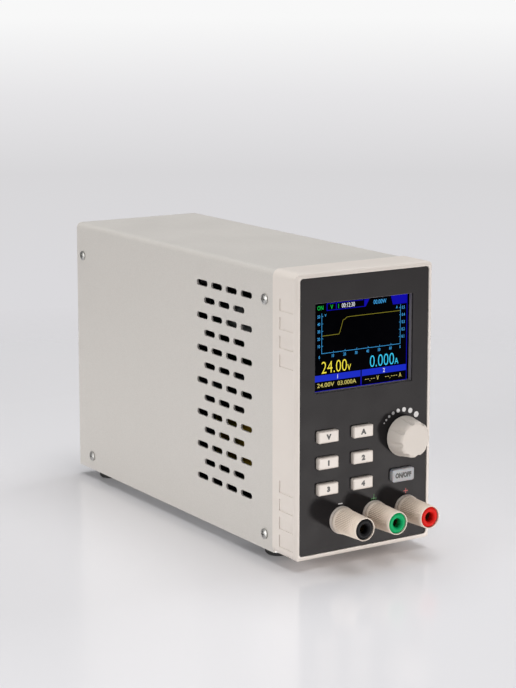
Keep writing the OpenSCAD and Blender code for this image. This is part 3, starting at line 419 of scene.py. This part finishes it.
graph_left, graph_right, graph_top, graph_foot = 0.08, 0.925, 0.11, 0.575
scales = Picture()
row_step, column_step = 0.086, 0.124
for side in (graph_left, graph_right):
    scales.stroke((side, graph_top), (side, graph_foot))
scales.stroke((graph_left - 0.002, graph_foot), (graph_right + 0.002, graph_foot))
for i in range(1, 6):
    height = graph_foot - i * row_step
    scales.stroke((graph_left + 0.003, height), (graph_left + 0.014, height))
    scales.stroke((graph_right - 0.014, height), (graph_right - 0.003, height))
    scales.figures(str(10 * i), 0.062, height, 0.036, 0.75, 1.0)
    scales.figures("0.%d" % i, 0.94, height, 0.036, 0.75, 0.0)
scales.figures("0", 0.062, 0.615, 0.036, 0.75, 1.0)
for i in range(1, 7):
    across = graph_left + i * column_step
    scales.stroke((across, graph_foot - 0.018), (across, graph_foot - 0.004))
    scales.figures(str(10 * i), across - 0.005, 0.612, 0.036, 0.75)
scales.figures("s", graph_right, 0.612, 0.03, 0.75)
scales.figures("V", 0.118, 0.135, 0.032, 0.75)
scales.figures("A", 0.885, 0.135, 0.032, 0.75)
scales.figures("00.00W", 0.7, 0.045, 0.05, 0.8)
scales.done("screen_scales", screen_light_blue)

trace_points = [(graph_left + 0.004, 0.372), (0.262, 0.37), (0.276, 0.33), (0.303, 0.215),
                (0.322, 0.205), (0.345, 0.183), (0.39, 0.181), (graph_right - 0.004, 0.181)]
trace = Picture()
for start, end in zip(trace_points, trace_points[1:]):
    trace.stroke(start, end, 0.22 * mm)
trace.done("screen_trace", screen_olive)

volts = Picture()
volts.figures("24.00", 0.08, 0.74, 0.138, align=0.0, bold=-0.01, span=0.268)
volts.figures("V", 0.354, 0.772, 0.07, 0.8, 0.0)
volts.done("screen_volts", screen_yellow)
amps = Picture()
amps.figures("0.000", 0.596, 0.74, 0.138, align=0.0, bold=-0.01, span=0.264)
amps.figures("A", 0.866, 0.772, 0.07, 0.8, 0.0)
amps.done("screen_amps", screen_cyan)

settings = Picture()
settings.figures("24.00V", 0.034, 0.944, 0.05, align=0.0, span=0.18)
settings.figures("03.000A", 0.25, 0.944, 0.05, align=0.0, span=0.2)
dash_places, dash_w = (0.0, 0.026, 0.064, 0.09, 0.116), 0.016
for start, dashes, unit, unit_at in ((0.545, 4, "V", 0.125), (0.765, 5, "A", 0.15)):
    for place in dash_places[:dashes]:
        settings.stroke((start + place, 0.945), (start + place + dash_w, 0.945), 0.26 * mm)
    settings.stroke((start + 0.05, 0.966), (start + 0.056, 0.966), 0.3 * mm)
    settings.figures(unit, start + unit_at, 0.945, 0.052, 0.74, 0.0)
settings.done("screen_settings", screen_pale)

clock = Picture()
clock.figures("00:12:30", 0.29, 0.043, 0.052, 0.74, 0.0)
clock.done("screen_clock", screen_white)
headings = Picture(2)
headings.figures("1", 0.25, 0.863, 0.048, 0.9)
headings.figures("2", 0.75, 0.863, 0.048, 0.9)
headings.done("screen_headings", screen_white)
states = Picture()
states.figures("ON", 0.064, 0.045, 0.05, 0.78)
states.figures("V", 0.184, 0.045, 0.05, 0.8)
states.figures("1", 0.256, 0.045, 0.05, 0.8)
states.done("screen_states", screen_green)

foam = Finish("window_foam", 0.8)
foam_cells = foam.cloud(0.0003, 4.0)
foam.colour(foam_cells, (0.35, rgb(112, 108, 112)), (0.65, rgb(130, 126, 130)))
foam.relief(foam_cells, 0.03 * mm)
foam_t, foam_play = 0.3 * mm, 0.02 * mm


def close_frame(solid, rings):
    """Joins four rings of points into a frame, from its outer and inner edge at each of two depths."""
    count = len(rings[0])
    for first, second in ((0, 1), (1, 3), (3, 2), (2, 0)):
        for i in range(count):
            j = (i + 1) % count
            solid.faces.new((rings[first][i], rings[first][j], rings[second][j], rings[second][i]))


foam_ring = bmesh.new()
foam_edges = []
for depth in (overlay_high.y + foam_play, glass_low.y - foam_play):
    for inset in (foam_play, foam_play + foam_t):
        left, right = window_left + inset, window_left + window_w - inset
        low, top = window_top - window_h + inset, window_top - inset
        corners = ((left, low), (right, low), (right, top), (left, top))
        foam_edges.append([foam_ring.verts.new((x, depth, z)) for x, z in corners])
close_frame(foam_ring, foam_edges)
link("window_foam_strip", finished_mesh("window_foam_strip", foam_ring), foam, "case")

# Buttons
# Six small keys and the larger output key, each moulded in one with the stem that works its switch.
# The small ones are satin ABS and the output key is translucent, with dark printed legends.
small_keys = {"button_voltage": "V", "button_current": "A", "button_one": "1",
              "button_two": "2", "button_three": "3", "button_four": "4"}
key_plastic = satin_moulding("key_plastic", rgb(204, 195, 187), rgb(198, 189, 181), 0.42)
dress(key_plastic, *small_keys)

output_key = Finish("output_key_plastic", 0.45, Specular_IOR_Level=0.3,
                    Subsurface_Weight=0.2, Subsurface_Scale=0.002)
output_key.colour(output_key.cloud(0.004, 2.0), (0.3, rgb(152, 153, 157)), (0.7, rgb(158, 159, 163)))
output_key.roughness(output_key.cloud(0.0003, 3.0), 0.4, 0.5)
output_key.relief(output_key.cloud(0.0005, 2.0), 0.004 * mm)
dress(output_key, "button_output")

legend_ink = screen_ink("legend_ink", rgb(24, 21, 20), rgb(18, 16, 15))
legend_h, narrow, broad = 2.8 * mm, 0.82, 1.1
for key, legend in (*small_keys.items(), ("button_output", "ON/OFF")):
    key_low, key_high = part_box(key)
    key_x, key_z = (key_low.x + key_high.x) / 2, (key_low.z + key_high.z) / 2
    legend_marks = Marks(key_low.y)
    legend_marks.words(legend, key_x, key_z, legend_h, narrow if len(legend) > 1 else broad, bold=0.08)
    legend_marks.done("legend_" + key, legend_ink, key)

switch_plastic = satin_moulding("switch_plastic", rgb(34, 34, 36), rgb(28, 28, 30), 0.5)
dress(switch_plastic, "tact_switches")

# Knob and its encoder
# The knob is an ABS moulding with eight grooves and a round flat face, pushed on the encoder's steel shaft.
# The encoder is nutted to the panel behind it and also works as a switch when the knob is pressed.
knob_low, knob_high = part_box("knob")
knob_x, knob_z = (knob_low.x + knob_high.x) / 2, (knob_low.z + knob_high.z) / 2
knob_r = (knob_high.x - knob_low.x) / 2
knob_front = knob_low.y
knob_h = knob_high.y - knob_low.y
knob_grooves = 8
groove_turn = 0.28


def round_solid(name, x, z, front, outline, steps, radius_at=None):
    """A turned solid facing the front: outline lists radii and depths behind front, in a closed loop."""
    solid = bmesh.new()
    rows = []
    for r, depth in outline:
        row = []
        for i in range(steps):
            a = 2 * math.pi * i / steps
            reach = radius_at(r, depth, a) if radius_at else r
            row.append(solid.verts.new((x + reach * math.cos(a), front + depth, z + reach * math.sin(a))))
        rows.append(row)
    for row, following in zip(rows, rows[1:] + rows[:1]):
        for i in range(steps):
            j = (i + 1) % steps
            solid.faces.new((row[i], row[j], following[j], following[i]))
    mesh = finished_mesh(name, solid)
    mesh.shade_smooth()
    mesh.set_sharp_from_angle(angle=math.radians(38))
    return mesh


shoulder_d, shoulder_w = 1.8 * mm, 1.8 * mm
face_r = 7.4 * mm
side_r = face_r + shoulder_w
groove_deep, groove_shallow, groove_r = 1.35 * mm, 0.15 * mm, 1.7 * mm
groove_foot = knob_h - 1.0 * mm


def side_radius(depth):
    """The knob's side, which widens evenly from its shoulder to its rear edge."""
    return side_r + (knob_r - side_r) * (depth - shoulder_d) / (knob_h - shoulder_d)


def knob_radius(r, depth, a):
    """Cuts the grooves in the knob's side and shoulder: round ones that grow deeper towards the front."""
    if r <= face_r or depth > groove_foot:
        return r
    turn = (a / (2 * math.pi) * knob_grooves - groove_turn + 0.5) % 1.0 - 0.5
    off = turn * 2 * math.pi / knob_grooves
    deep = groove_shallow + (groove_deep - groove_shallow) * (groove_foot - depth) / groove_foot
    centre = side_radius(max(depth, shoulder_d)) - deep + groove_r
    reach = groove_r**2 - (centre * math.sin(off))**2
    return min(r, centre * math.cos(off) - math.sqrt(reach)) if reach > 0 else r


def arc(centre_r, centre_depth, reach_r, reach_depth, start, end, steps):
    """Points on part of an ellipse, by degrees from straight out towards the front."""
    turns = [math.radians(start + (end - start) * i / steps) for i in range(steps + 1)]
    return [(centre_r + reach_r * math.cos(a), centre_depth - reach_depth * math.sin(a)) for a in turns]


knob_outline = [(0.02 * mm, 0.06 * mm), (5.5 * mm, 0.05 * mm), (face_r - 0.5 * mm, 0.0)]
knob_outline += arc(face_r, shoulder_d, shoulder_w, shoulder_d, 90, 0, 14)
side_rows = 14
for i in range(1, side_rows + 1):
    depth = shoulder_d + (groove_foot - shoulder_d) * i / side_rows
    knob_outline.append((side_radius(depth), depth))
knob_outline += [(knob_r, knob_h - 0.8 * mm), (knob_r, knob_h - 0.3 * mm), (knob_r - 0.3 * mm, knob_h)]
knob_bore_r, knob_hollow_r, hollow_depth, bore_depth = 3.02 * mm, 7.2 * mm, 5.3 * mm, 1.9 * mm
knob_outline += [(knob_hollow_r, knob_h), (knob_hollow_r, hollow_depth), (knob_bore_r, hollow_depth),
                 (knob_bore_r, bore_depth), (0.02 * mm, bore_depth)]
knob_plastic = satin_moulding("knob_plastic", rgb(208, 200, 192), rgb(202, 194, 186), 0.55)
knob_mesh = round_solid("grooved_knob", knob_x, knob_z, knob_front, knob_outline, 320, knob_radius)
grooved_knob = link("grooved_knob", knob_mesh, knob_plastic, "knob")
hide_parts("knob")

nickel_plate = plated_sheet("nickel_plate", rgb(186, 184, 180), rgb(212, 210, 206), 0.0012)
dress(nickel_plate, "encoder_nut", "encoder_shaft")
dress(key_plastic, "encoder_push_rod")

# Binding posts
# Each post is a plated brass stud through an insulating collar, nutted with a solder lug behind the panel.
# A ribbed nylon cap screws down it onto a steel washer, and a satin ring in its tip shows the pole.
collar_plastic = satin_moulding("collar_plastic", rgb(222, 212, 204), rgb(214, 204, 196), 0.44)
dress(collar_plastic, "post_base_black", "post_base_green", "post_base_red")

plated_brass = plated_sheet("plated_brass", rgb(158, 136, 88), rgb(178, 156, 104), 0.002)
dress(plated_brass, "post_stud_black", "post_stud_green", "post_stud_red")
dress(nickel_plate, "clamp_washer_black", "clamp_washer_green", "clamp_washer_red", "post_hardware")

tip_r, foot_r, skirt_r = 5.75 * mm, 6.35 * mm, 6.6 * mm
bore_r, seat_r, seat_d = 3.05 * mm, 5.6 * mm, 1.1 * mm
ring_r, ring_seat = 5.27 * mm, 3.7 * mm
cap_ribs, rib_rows = 44, 16
rib_deep, rib_fade = 0.36 * mm, 0.5 * mm
rib_zone = (1.1 * mm, 16.7 * mm)


def cap_radius(r, depth, a):
    """Presses lengthwise ribs into the cap between its tip and its skirt."""
    if r < seat_r or not rib_zone[0] < depth < rib_zone[1]:
        return r
    fade = min(1.0, (depth - rib_zone[0]) / rib_fade, (rib_zone[1] - depth) / rib_fade)
    return r - rib_deep * fade * (0.5 - 0.5 * math.cos(cap_ribs * a)) ** 0.7


def nylon_with_painted_rib_shade(name, x, z, tip):
    """Cream nylon with painted shade: darker along the bottoms of the ribs, fading out towards the tip,
    none on the skirt.
    """
    cap = Finish(name, 0.45)
    from_axis = [cap.sum("SUBTRACT", cap.axis("Z"), z), cap.sum("SUBTRACT", cap.axis("X"), x)]
    turns = cap.sum("MULTIPLY", cap.sum("ARCTAN2", *from_axis), float(cap_ribs))
    # Painted shade: the rib bottoms are coloured darker than the rib tops, in place of the shade inside the
    # grooves.
    unshaded_rib_tops = cap.spread(cap.sum("COSINE", turns), 0, 1, -1, 1)
    depth = cap.sum("SUBTRACT", cap.axis("Y"), tip)
    # The painted groove shade fades out towards the tip, and the ribless skirt gets none.
    shade_fades_to_tip = cap.spread(depth, 1, 0, rib_zone[0], 10 * mm)
    skirt = cap.spread(depth, 0, 1, rib_zone[1] - 0.3 * mm, rib_zone[1])
    shade = cap.sum("MAXIMUM", unshaded_rib_tops, cap.sum("MAXIMUM", shade_fades_to_tip, skirt))
    # The darker stop is the painted groove shade; the lighter one is the nylon's own cream.
    cap.colour(shade, (0.1, rgb(172, 154, 136)), (0.6, rgb(232, 218, 204)))
    grain = cap.cloud(0.0004, 3.0)
    cap.roughness(grain, 0.42, 0.52)
    cap.relief(grain, 0.0015 * mm)
    return cap


def satin_ring(name, shade, deeper):
    ring = Finish(name, 0.5, Specular_IOR_Level=0.08)
    ring.colour(ring.cloud(0.003, 3.0), (0.3, deeper), (0.7, shade))
    ring.roughness(ring.cloud(0.0008, 2.0), 0.45, 0.55)
    ring.relief(ring.cloud(0.001, 2.0), 0.01 * mm)
    return ring


ring_finishes = {
    "black": satin_ring("insert_black", rgb(32, 32, 34), rgb(26, 26, 28)),
    "green": satin_ring("insert_green", rgb(14, 166, 102), rgb(10, 156, 94)),
    "red": satin_ring("insert_red", rgb(214, 30, 22), rgb(204, 26, 18)),
}
cone_start, cone_rest = 0.9 * mm, 2.6 * mm
insert_r, mouth_r = 5.24 * mm, 2.3 * mm
swell_r, swell_d = (insert_r - 0.12 * mm - mouth_r) / 2, 1.2 * mm
for pole, ring_finish in ring_finishes.items():
    cap_low, cap_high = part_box("post_cap_" + pole)
    post_x, post_z = (cap_low.x + cap_high.x) / 2, (cap_low.z + cap_high.z) / 2
    cap_len = cap_high.y - cap_low.y
    cap_outline = [(ring_r, ring_seat), (ring_r, 0.25 * mm), (ring_r + 0.06 * mm, 0.06 * mm),
                   (tip_r - 0.22 * mm, 0.0), (tip_r - 0.06 * mm, 0.08 * mm),
                   (tip_r, 0.25 * mm), (tip_r, cone_start)]
    for i in range(rib_rows + 1):
        depth = rib_zone[0] + (rib_zone[1] - rib_zone[0]) * i / rib_rows
        cone_r = tip_r + (foot_r - tip_r) * (depth - cone_start) / (cap_len - cone_rest)
        cap_outline.append((cone_r, depth))
    cap_outline += [(foot_r - 0.1 * mm, cap_len - 1.72 * mm), (skirt_r - 0.12 * mm, cap_len - 1.55 * mm),
                    (skirt_r, cap_len - 1.4 * mm), (skirt_r, cap_len - 0.2 * mm),
                    (skirt_r - 0.15 * mm, cap_len), (seat_r, cap_len), (seat_r, cap_len - seat_d),
                    (bore_r, cap_len - seat_d), (bore_r, ring_seat)]
    cap_name = "ribbed_cap_" + pole
    cap_mesh = round_solid(cap_name, post_x, post_z, cap_low.y, cap_outline, 6 * cap_ribs, cap_radius)
    # Each cap's nylon carries painted shade in its rib grooves.
    nylon = nylon_with_painted_rib_shade("post_nylon_" + pole, post_x, post_z, cap_low.y)
    ribbed_cap = link(cap_name, cap_mesh, nylon, "post_cap_" + pole)
    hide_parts("post_cap_" + pole)
    insert_low, insert_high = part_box("post_insert_" + pole)
    insert_d = insert_high.y - insert_low.y
    insert_outline = [(insert_r, insert_d), (insert_r, swell_d + 0.05 * mm)]
    insert_outline += arc(mouth_r + swell_r, swell_d, swell_r, swell_d, 4, 180, 18) + [(mouth_r, insert_d)]
    insert_mesh = round_solid("pole_ring_" + pole, post_x, post_z, insert_low.y, insert_outline, 96)
    pole_ring = link("pole_ring_" + pole, insert_mesh, ring_finish, "post_cap_" + pole)
    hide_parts("post_insert_" + pole)

# Feet
# Four moulded rubber feet stand under the chassis.
# Each is held from below by a screw sunk in its middle.
foot_rubber = Finish("foot_rubber", 0.75)
rubber_skin = foot_rubber.cloud(0.0005, 4.0)
foot_rubber.colour(rubber_skin, (0.3, rgb(24, 24, 24)), (0.7, rgb(36, 36, 36)))
foot_rubber.relief(rubber_skin, 0.03 * mm)
dress(foot_rubber, "feet")

# Screws
# Nickel plated steel pan heads with a cross recess. Four on each side hold the cover to the chassis.
# Others hold the bezel, the boards, the brackets, the fan, the inlet and the feet.
screw_plate = plated_sheet("screw_plate", rgb(170, 170, 168), rgb(204, 203, 200), 0.0008)
dress(screw_plate, "cover_screws", "other_screws", "foot_screws")

# Fan and its guard
# A 60 mm fan of glass-filled plastic blows out through the rear wall.
# A welded and plated wire guard is screwed over it from outside.
fan_plastic = Finish("fan_plastic", 0.5)
fan_fibres = fan_plastic.cloud(0.0005, 3.0, (1, 1, 5))
fan_plastic.colour(fan_fibres, (0.35, rgb(26, 26, 28)), (0.65, rgb(38, 38, 41)))
fan_plastic.roughness(fan_fibres, 0.42, 0.58)
fan_plastic.relief(fan_fibres, 0.012 * mm)
dress(fan_plastic, "fan_frame", "fan_rotor")
dress(nickel_plate, "finger_guard")

# Mains inlet and rocker switch
# Both are moulded in black flame-proof plastic, the inlet with three plated blades for a mains lead.
# The rocker carries the two usual signs for on and off, moulded in white on its two halves.
dress(switch_plastic, "inlet_housing", "switch_housing")
rocker_plastic = satin_moulding("rocker_plastic", rgb(30, 30, 31), rgb(24, 24, 25), 0.34, 0.0006)
dress(rocker_plastic, "power_rocker")
blade_metal = plated_sheet("blade_metal", rgb(196, 188, 160), rgb(214, 206, 180), 0.002)
dress(blade_metal, "inlet_pins")

rocker_joint = next(j for j in frame["joints"] if j["name"] == "rocker_swing")
rocker_at = Vector(rocker_joint["pos_m"])
rocker_lean = math.radians(rocker_joint["range_deg"][1] / 2)
rocker_ridge, rocker_rise, rocker_half = 3.3 * mm, 1.3 * mm, 7.8 * mm
sign_sunk, sign_proud, sign_place = -0.02 * mm, 0.03 * mm, 0.55
face_slope = math.atan2(rocker_rise, rocker_half)


def rocker_sign(name, outer, inner, half):
    """A sign on one half of the rocker: outer and inner outlines across and along that half."""
    lean = half * face_slope - rocker_lean
    up = Vector((0, math.sin(lean), math.cos(lean)))
    out = Vector((0, math.cos(lean), -math.sin(lean)))
    ridge = Vector((0, rocker_ridge * math.cos(rocker_lean), rocker_ridge * math.sin(rocker_lean)))
    middle = rocker_at + ridge + up * half * sign_place * rocker_half
    solid = bmesh.new()
    rings = []
    for shape in (outer, inner):
        for height in (sign_sunk, sign_proud):
            places = [middle + Vector((-x, 0, 0)) + up * z + out * height for x, z in shape]
            rings.append([solid.verts.new(place) for place in places])
    close_frame(solid, rings)
    link(name, finished_mesh(name, solid), white_ink, "power_rocker")


def oval(width, height, steps=40):
    turns = [2 * math.pi * i / steps for i in range(steps)]
    return [(width / 2 * math.cos(a), height / 2 * math.sin(a)) for a in turns]


rocker_sign("rocker_off_sign", oval(3.4 * mm, 3.4 * mm), oval(2.6 * mm, 2.6 * mm), -1)
rocker_sign("rocker_on_sign", oval(0.6 * mm, 3.6 * mm), oval(0.1 * mm, 3.0 * mm), 1)

# Circuit boards
# The control board behind the panel and the main board on its bracket are green glass-epoxy.
# Tinned tracks run under their solder mask, and brass standoffs carry the main board.
solder_mask = Finish("solder_mask", 0.3, Coat_Weight=0.3)
track_place = solder_mask.add("Mapping", {"Vector": solder_mask.place, "Scale": (260, 260, 260)}).outputs[0]
track_grid = solder_mask.add("TexBrick", {"Vector": track_place, "Scale": 1.0, "Mortar Size": 0.08})
tracks = track_grid.outputs["Fac"]
solder_mask.colour(tracks, (0.2, rgb(20, 84, 44)), (0.8, rgb(58, 138, 78)))
solder_mask.roughness(solder_mask.cloud(0.003), 0.26, 0.36)
solder_mask.relief(tracks, 0.03 * mm)
dress(solder_mask, "control_board", "main_board")
dress(plated_brass, "board_standoffs")

# Transformer, capacitors, heat sinks and choke
# The parts of the switching supply on the main board: a ferrite core in yellow taped windings, two mains
# capacitors in printed sleeves, two finned sinks with their transistors, and a choke of enamelled wire.
ferrite = Finish("ferrite", 0.6)
ferrite_grain = ferrite.cloud(0.0004, 4.0)
ferrite.colour(ferrite_grain, (0.35, rgb(44, 43, 45)), (0.65, rgb(62, 60, 63)))
ferrite.relief(ferrite_grain, 0.02 * mm)
dress(ferrite, "transformer_core")

tape = Finish("winding_tape", 0.32)
tape_w = 3.0 * mm
tape_laps = tape.sum("PINGPONG", tape.axis("Z"), tape_w)
tape.colour(tape.spread(tape_laps, 0, 1, 0, tape_w), (0.1, rgb(196, 152, 40)), (0.3, rgb(230, 194, 74)))
tape.roughness(tape.cloud(0.004), 0.26, 0.4)
tape.relief(tape.spread(tape_laps, 0, 1, 0, 0.4 * mm), 0.05 * mm)
dress(tape, "transformer_winding")

sleeve = Finish("capacitor_sleeve", 0.28, Coat_Weight=0.2)
sleeve_bands = sleeve.sum("PINGPONG", sleeve.axis("Y"), 8.0 * mm)
sleeve.colour(sleeve_bands, (0.0015, rgb(150, 156, 176)), (0.0019, rgb(24, 34, 62)))
sleeve.roughness(sleeve.cloud(0.005), 0.22, 0.34)
sleeve.relief(sleeve.cloud(0.002), 0.02 * mm)
dress(sleeve, "bulk_capacitors")

sink_alloy = plated_sheet("sink_alloy", rgb(150, 152, 155), rgb(178, 180, 182), 0.003)
dress(sink_alloy, "heatsinks")
epoxy = satin_moulding("transistor_epoxy", rgb(36, 36, 37), rgb(28, 28, 29), 0.55, 0.0004)
dress(epoxy, "power_transistors")

choke_wire = Finish("choke_wire", 0.24, Coat_Weight=0.4)
choke_low, choke_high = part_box("toroid_choke")
from_middle = [choke_wire.sum("SUBTRACT", choke_wire.axis(way), (choke_low[i] + choke_high[i]) / 2)
               for way, i in (("Y", 1), ("Z", 2))]
choke_turns = 70.0
turns = choke_wire.sum("MULTIPLY", choke_wire.sum("ARCTAN2", *from_middle), choke_turns)
turn_wave_and_shade = choke_wire.spread(choke_wire.sum("SINE", turns), 0, 1, -1, 1)
# Painted shade: the copper is coloured darker between the turns, in place of the shade in the creases; the
# same wave raises the relief.
choke_wire.colour(turn_wave_and_shade, (0.1, rgb(92, 40, 16)), (0.7, rgb(196, 104, 50)))
choke_wire.relief(turn_wave_and_shade, 0.25 * mm)
dress(choke_wire, "toroid_choke")

# Inner wiring
# Stranded leads in PVC run from the posts and the mains parts to the main board.
# A flat ribbon of fine wires joins the two boards.


def lead_jacket(name, shade, darker):
    jacket = Finish(name, 0.35)
    jacket.colour(jacket.cloud(0.006, 2.0), (0.3, darker), (0.7, shade))
    jacket.roughness(jacket.cloud(0.002), 0.3, 0.42)
    jacket.relief(jacket.cloud(0.001, 2.0), 0.02 * mm)
    return jacket


dress(lead_jacket("output_lead", rgb(188, 34, 30), rgb(170, 26, 24)), "output_leads")
dress(lead_jacket("mains_lead", rgb(74, 78, 150), rgb(62, 66, 134)), "rear_leads")
ribbon = Finish("ribbon", 0.4)
ribbon_wire_r = 0.5 * mm
ribbon_wires = ribbon.sum("PINGPONG", ribbon.axis("Z"), ribbon_wire_r)
wire_swell_and_shade = ribbon.spread(ribbon_wires, 0, 1, 0, ribbon_wire_r)
# Painted shade: the grey is coloured darker in the grooves between the wires than on their crowns; the same
# wave raises the relief.
ribbon.colour(wire_swell_and_shade, (0.1, rgb(112, 114, 120)), (0.5, rgb(162, 164, 168)))
ribbon.relief(wire_swell_and_shade, 0.2 * mm)
dress(ribbon, "ribbon_cable")

# Studio
# The supply stands on a pale, faintly glossy table that melts into a pale wall far behind it.
# A lamp low on the right shines through the table at the panel, wide ones light the left side and the top.
floor_finish = Finish("pale_table", 0.16, Specular_IOR_Level=0.3)
reach = floor_finish.add("VectorMath", {0: floor_finish.place}, operation="LENGTH").outputs["Value"]
floor_finish.colour(floor_finish.cloud(0.6), (0.3, rgb(237, 236, 239)), (0.7, rgb(240, 239, 242)))
floor_finish.join(floor_finish.spread(reach, 1, 0, 0.3, 0.65), floor_finish.shader["Alpha"])
floor_half = 1.5
floor_mesh = bpy.data.meshes.new("table_top")
floor_mesh.from_pydata([(-floor_half, -floor_half, 0), (floor_half, -floor_half, 0),
                        (floor_half, floor_half, 0), (-floor_half, floor_half, 0)], [], [(0, 1, 2, 3)])
table_top = bpy.data.objects.new("table_top", floor_mesh)
floor_mesh.materials.append(floor_finish.material)
bpy.context.scene.collection.objects.link(table_top)
table_top.visible_shadow = False
table_top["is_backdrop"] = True

aim = Vector((0, 0, 0.07))


def softbox(name, place, width, height, watts, shade=(1, 1, 1)):
    """A rectangular lamp that faces the supply."""
    lamp = bpy.data.lights.new(name, "AREA")
    lamp.shape = "RECTANGLE"
    lamp.size, lamp.size_y = width, height
    lamp.energy = watts
    lamp.color = shade
    holder = bpy.data.objects.new(name, lamp)
    holder.location = place
    holder.rotation_euler = (aim - Vector(place)).to_track_quat("-Z", "Y").to_euler()
    bpy.context.scene.collection.objects.link(holder)


softbox("panel_lamp", (0.82, -1.4, -0.46), 0.18, 0.16, 17, (1.0, 0.97, 0.94))
softbox("side_lamp", (-1.75, -0.15, 0.42), 1.2, 0.8, 19, (1.0, 0.99, 0.97))
softbox("top_lamp", (0.2, 0.1, 1.9), 1.4, 1.4, 26)
softbox("far_lamp", (1.7, 0.2, 1.1), 1.0, 1.0, 9)

wall = bpy.data.worlds.new("pale_wall")
bpy.context.scene.world = wall
wall.use_nodes = True
wall_nodes, wall_links = wall.node_tree.nodes, wall.node_tree.links
wall_light = wall_nodes["Background"].inputs
height_seen = wall_nodes.new("ShaderNodeSeparateXYZ")
wall_links.new(wall_nodes.new("ShaderNodeTexCoord").outputs["Generated"], height_seen.inputs[0])
up_the_wall = wall_nodes.new("ShaderNodeMapRange")
for socket, value in (("From Min", -0.16), ("From Max", -0.03)):
    up_the_wall.inputs[socket].default_value = value
wall_links.new(height_seen.outputs["Z"], up_the_wall.inputs["Value"])
wall_shade = wall_nodes.new("ShaderNodeValToRGB")
for place, shade in ((0.4, rgb(216, 215, 217)), (0.7, rgb(230, 229, 231))):
    wall_shade.color_ramp.elements.new(place).color = shade
wall_shade.color_ramp.elements[0].color = rgb(218, 217, 220)
wall_shade.color_ramp.elements[-1].color = rgb(248, 248, 248)
wall_links.new(up_the_wall.outputs[0], wall_shade.inputs[0])
wall_links.new(wall_shade.outputs[0], wall_light["Color"])
wall_strength = wall_nodes.new("ShaderNodeMapRange")
for socket, value in (("To Min", 0.22), ("To Max", 1.0)):
    wall_strength.inputs[socket].default_value = value
seen_by_camera = wall_nodes.new("ShaderNodeLightPath").outputs["Is Camera Ray"]
wall_links.new(seen_by_camera, wall_strength.inputs["Value"])
wall_links.new(wall_strength.outputs[0], wall_light["Strength"])

# Camera
# The photograph was taken from ahead and to the left, a little above, with a long lens.
# Its uprights converge less than a camera tilted this far would show, so the lens is shifted a little.
camera_at = Vector((-550, -869.3, 295.2)) * mm
yaw, pitch = math.radians(32.54), math.radians(9.19)
right = Vector((math.cos(yaw), -math.sin(yaw), 0))
ahead = Vector((math.sin(yaw) * math.cos(pitch), math.cos(yaw) * math.cos(pitch), -math.sin(pitch)))
lens = bpy.data.cameras.new("camera")
lens.lens = 102.93
lens.shift_y = -0.1
camera = bpy.data.objects.new("camera", lens)
turned = Matrix((right, right.cross(ahead), -ahead)).transposed().to_4x4()
camera.matrix_world = Matrix.Translation(camera_at) @ turned
bpy.context.scene.collection.objects.link(camera)
bpy.context.scene.camera = camera
bpy.context.scene.view_settings.view_transform = "Standard"

low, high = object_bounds()
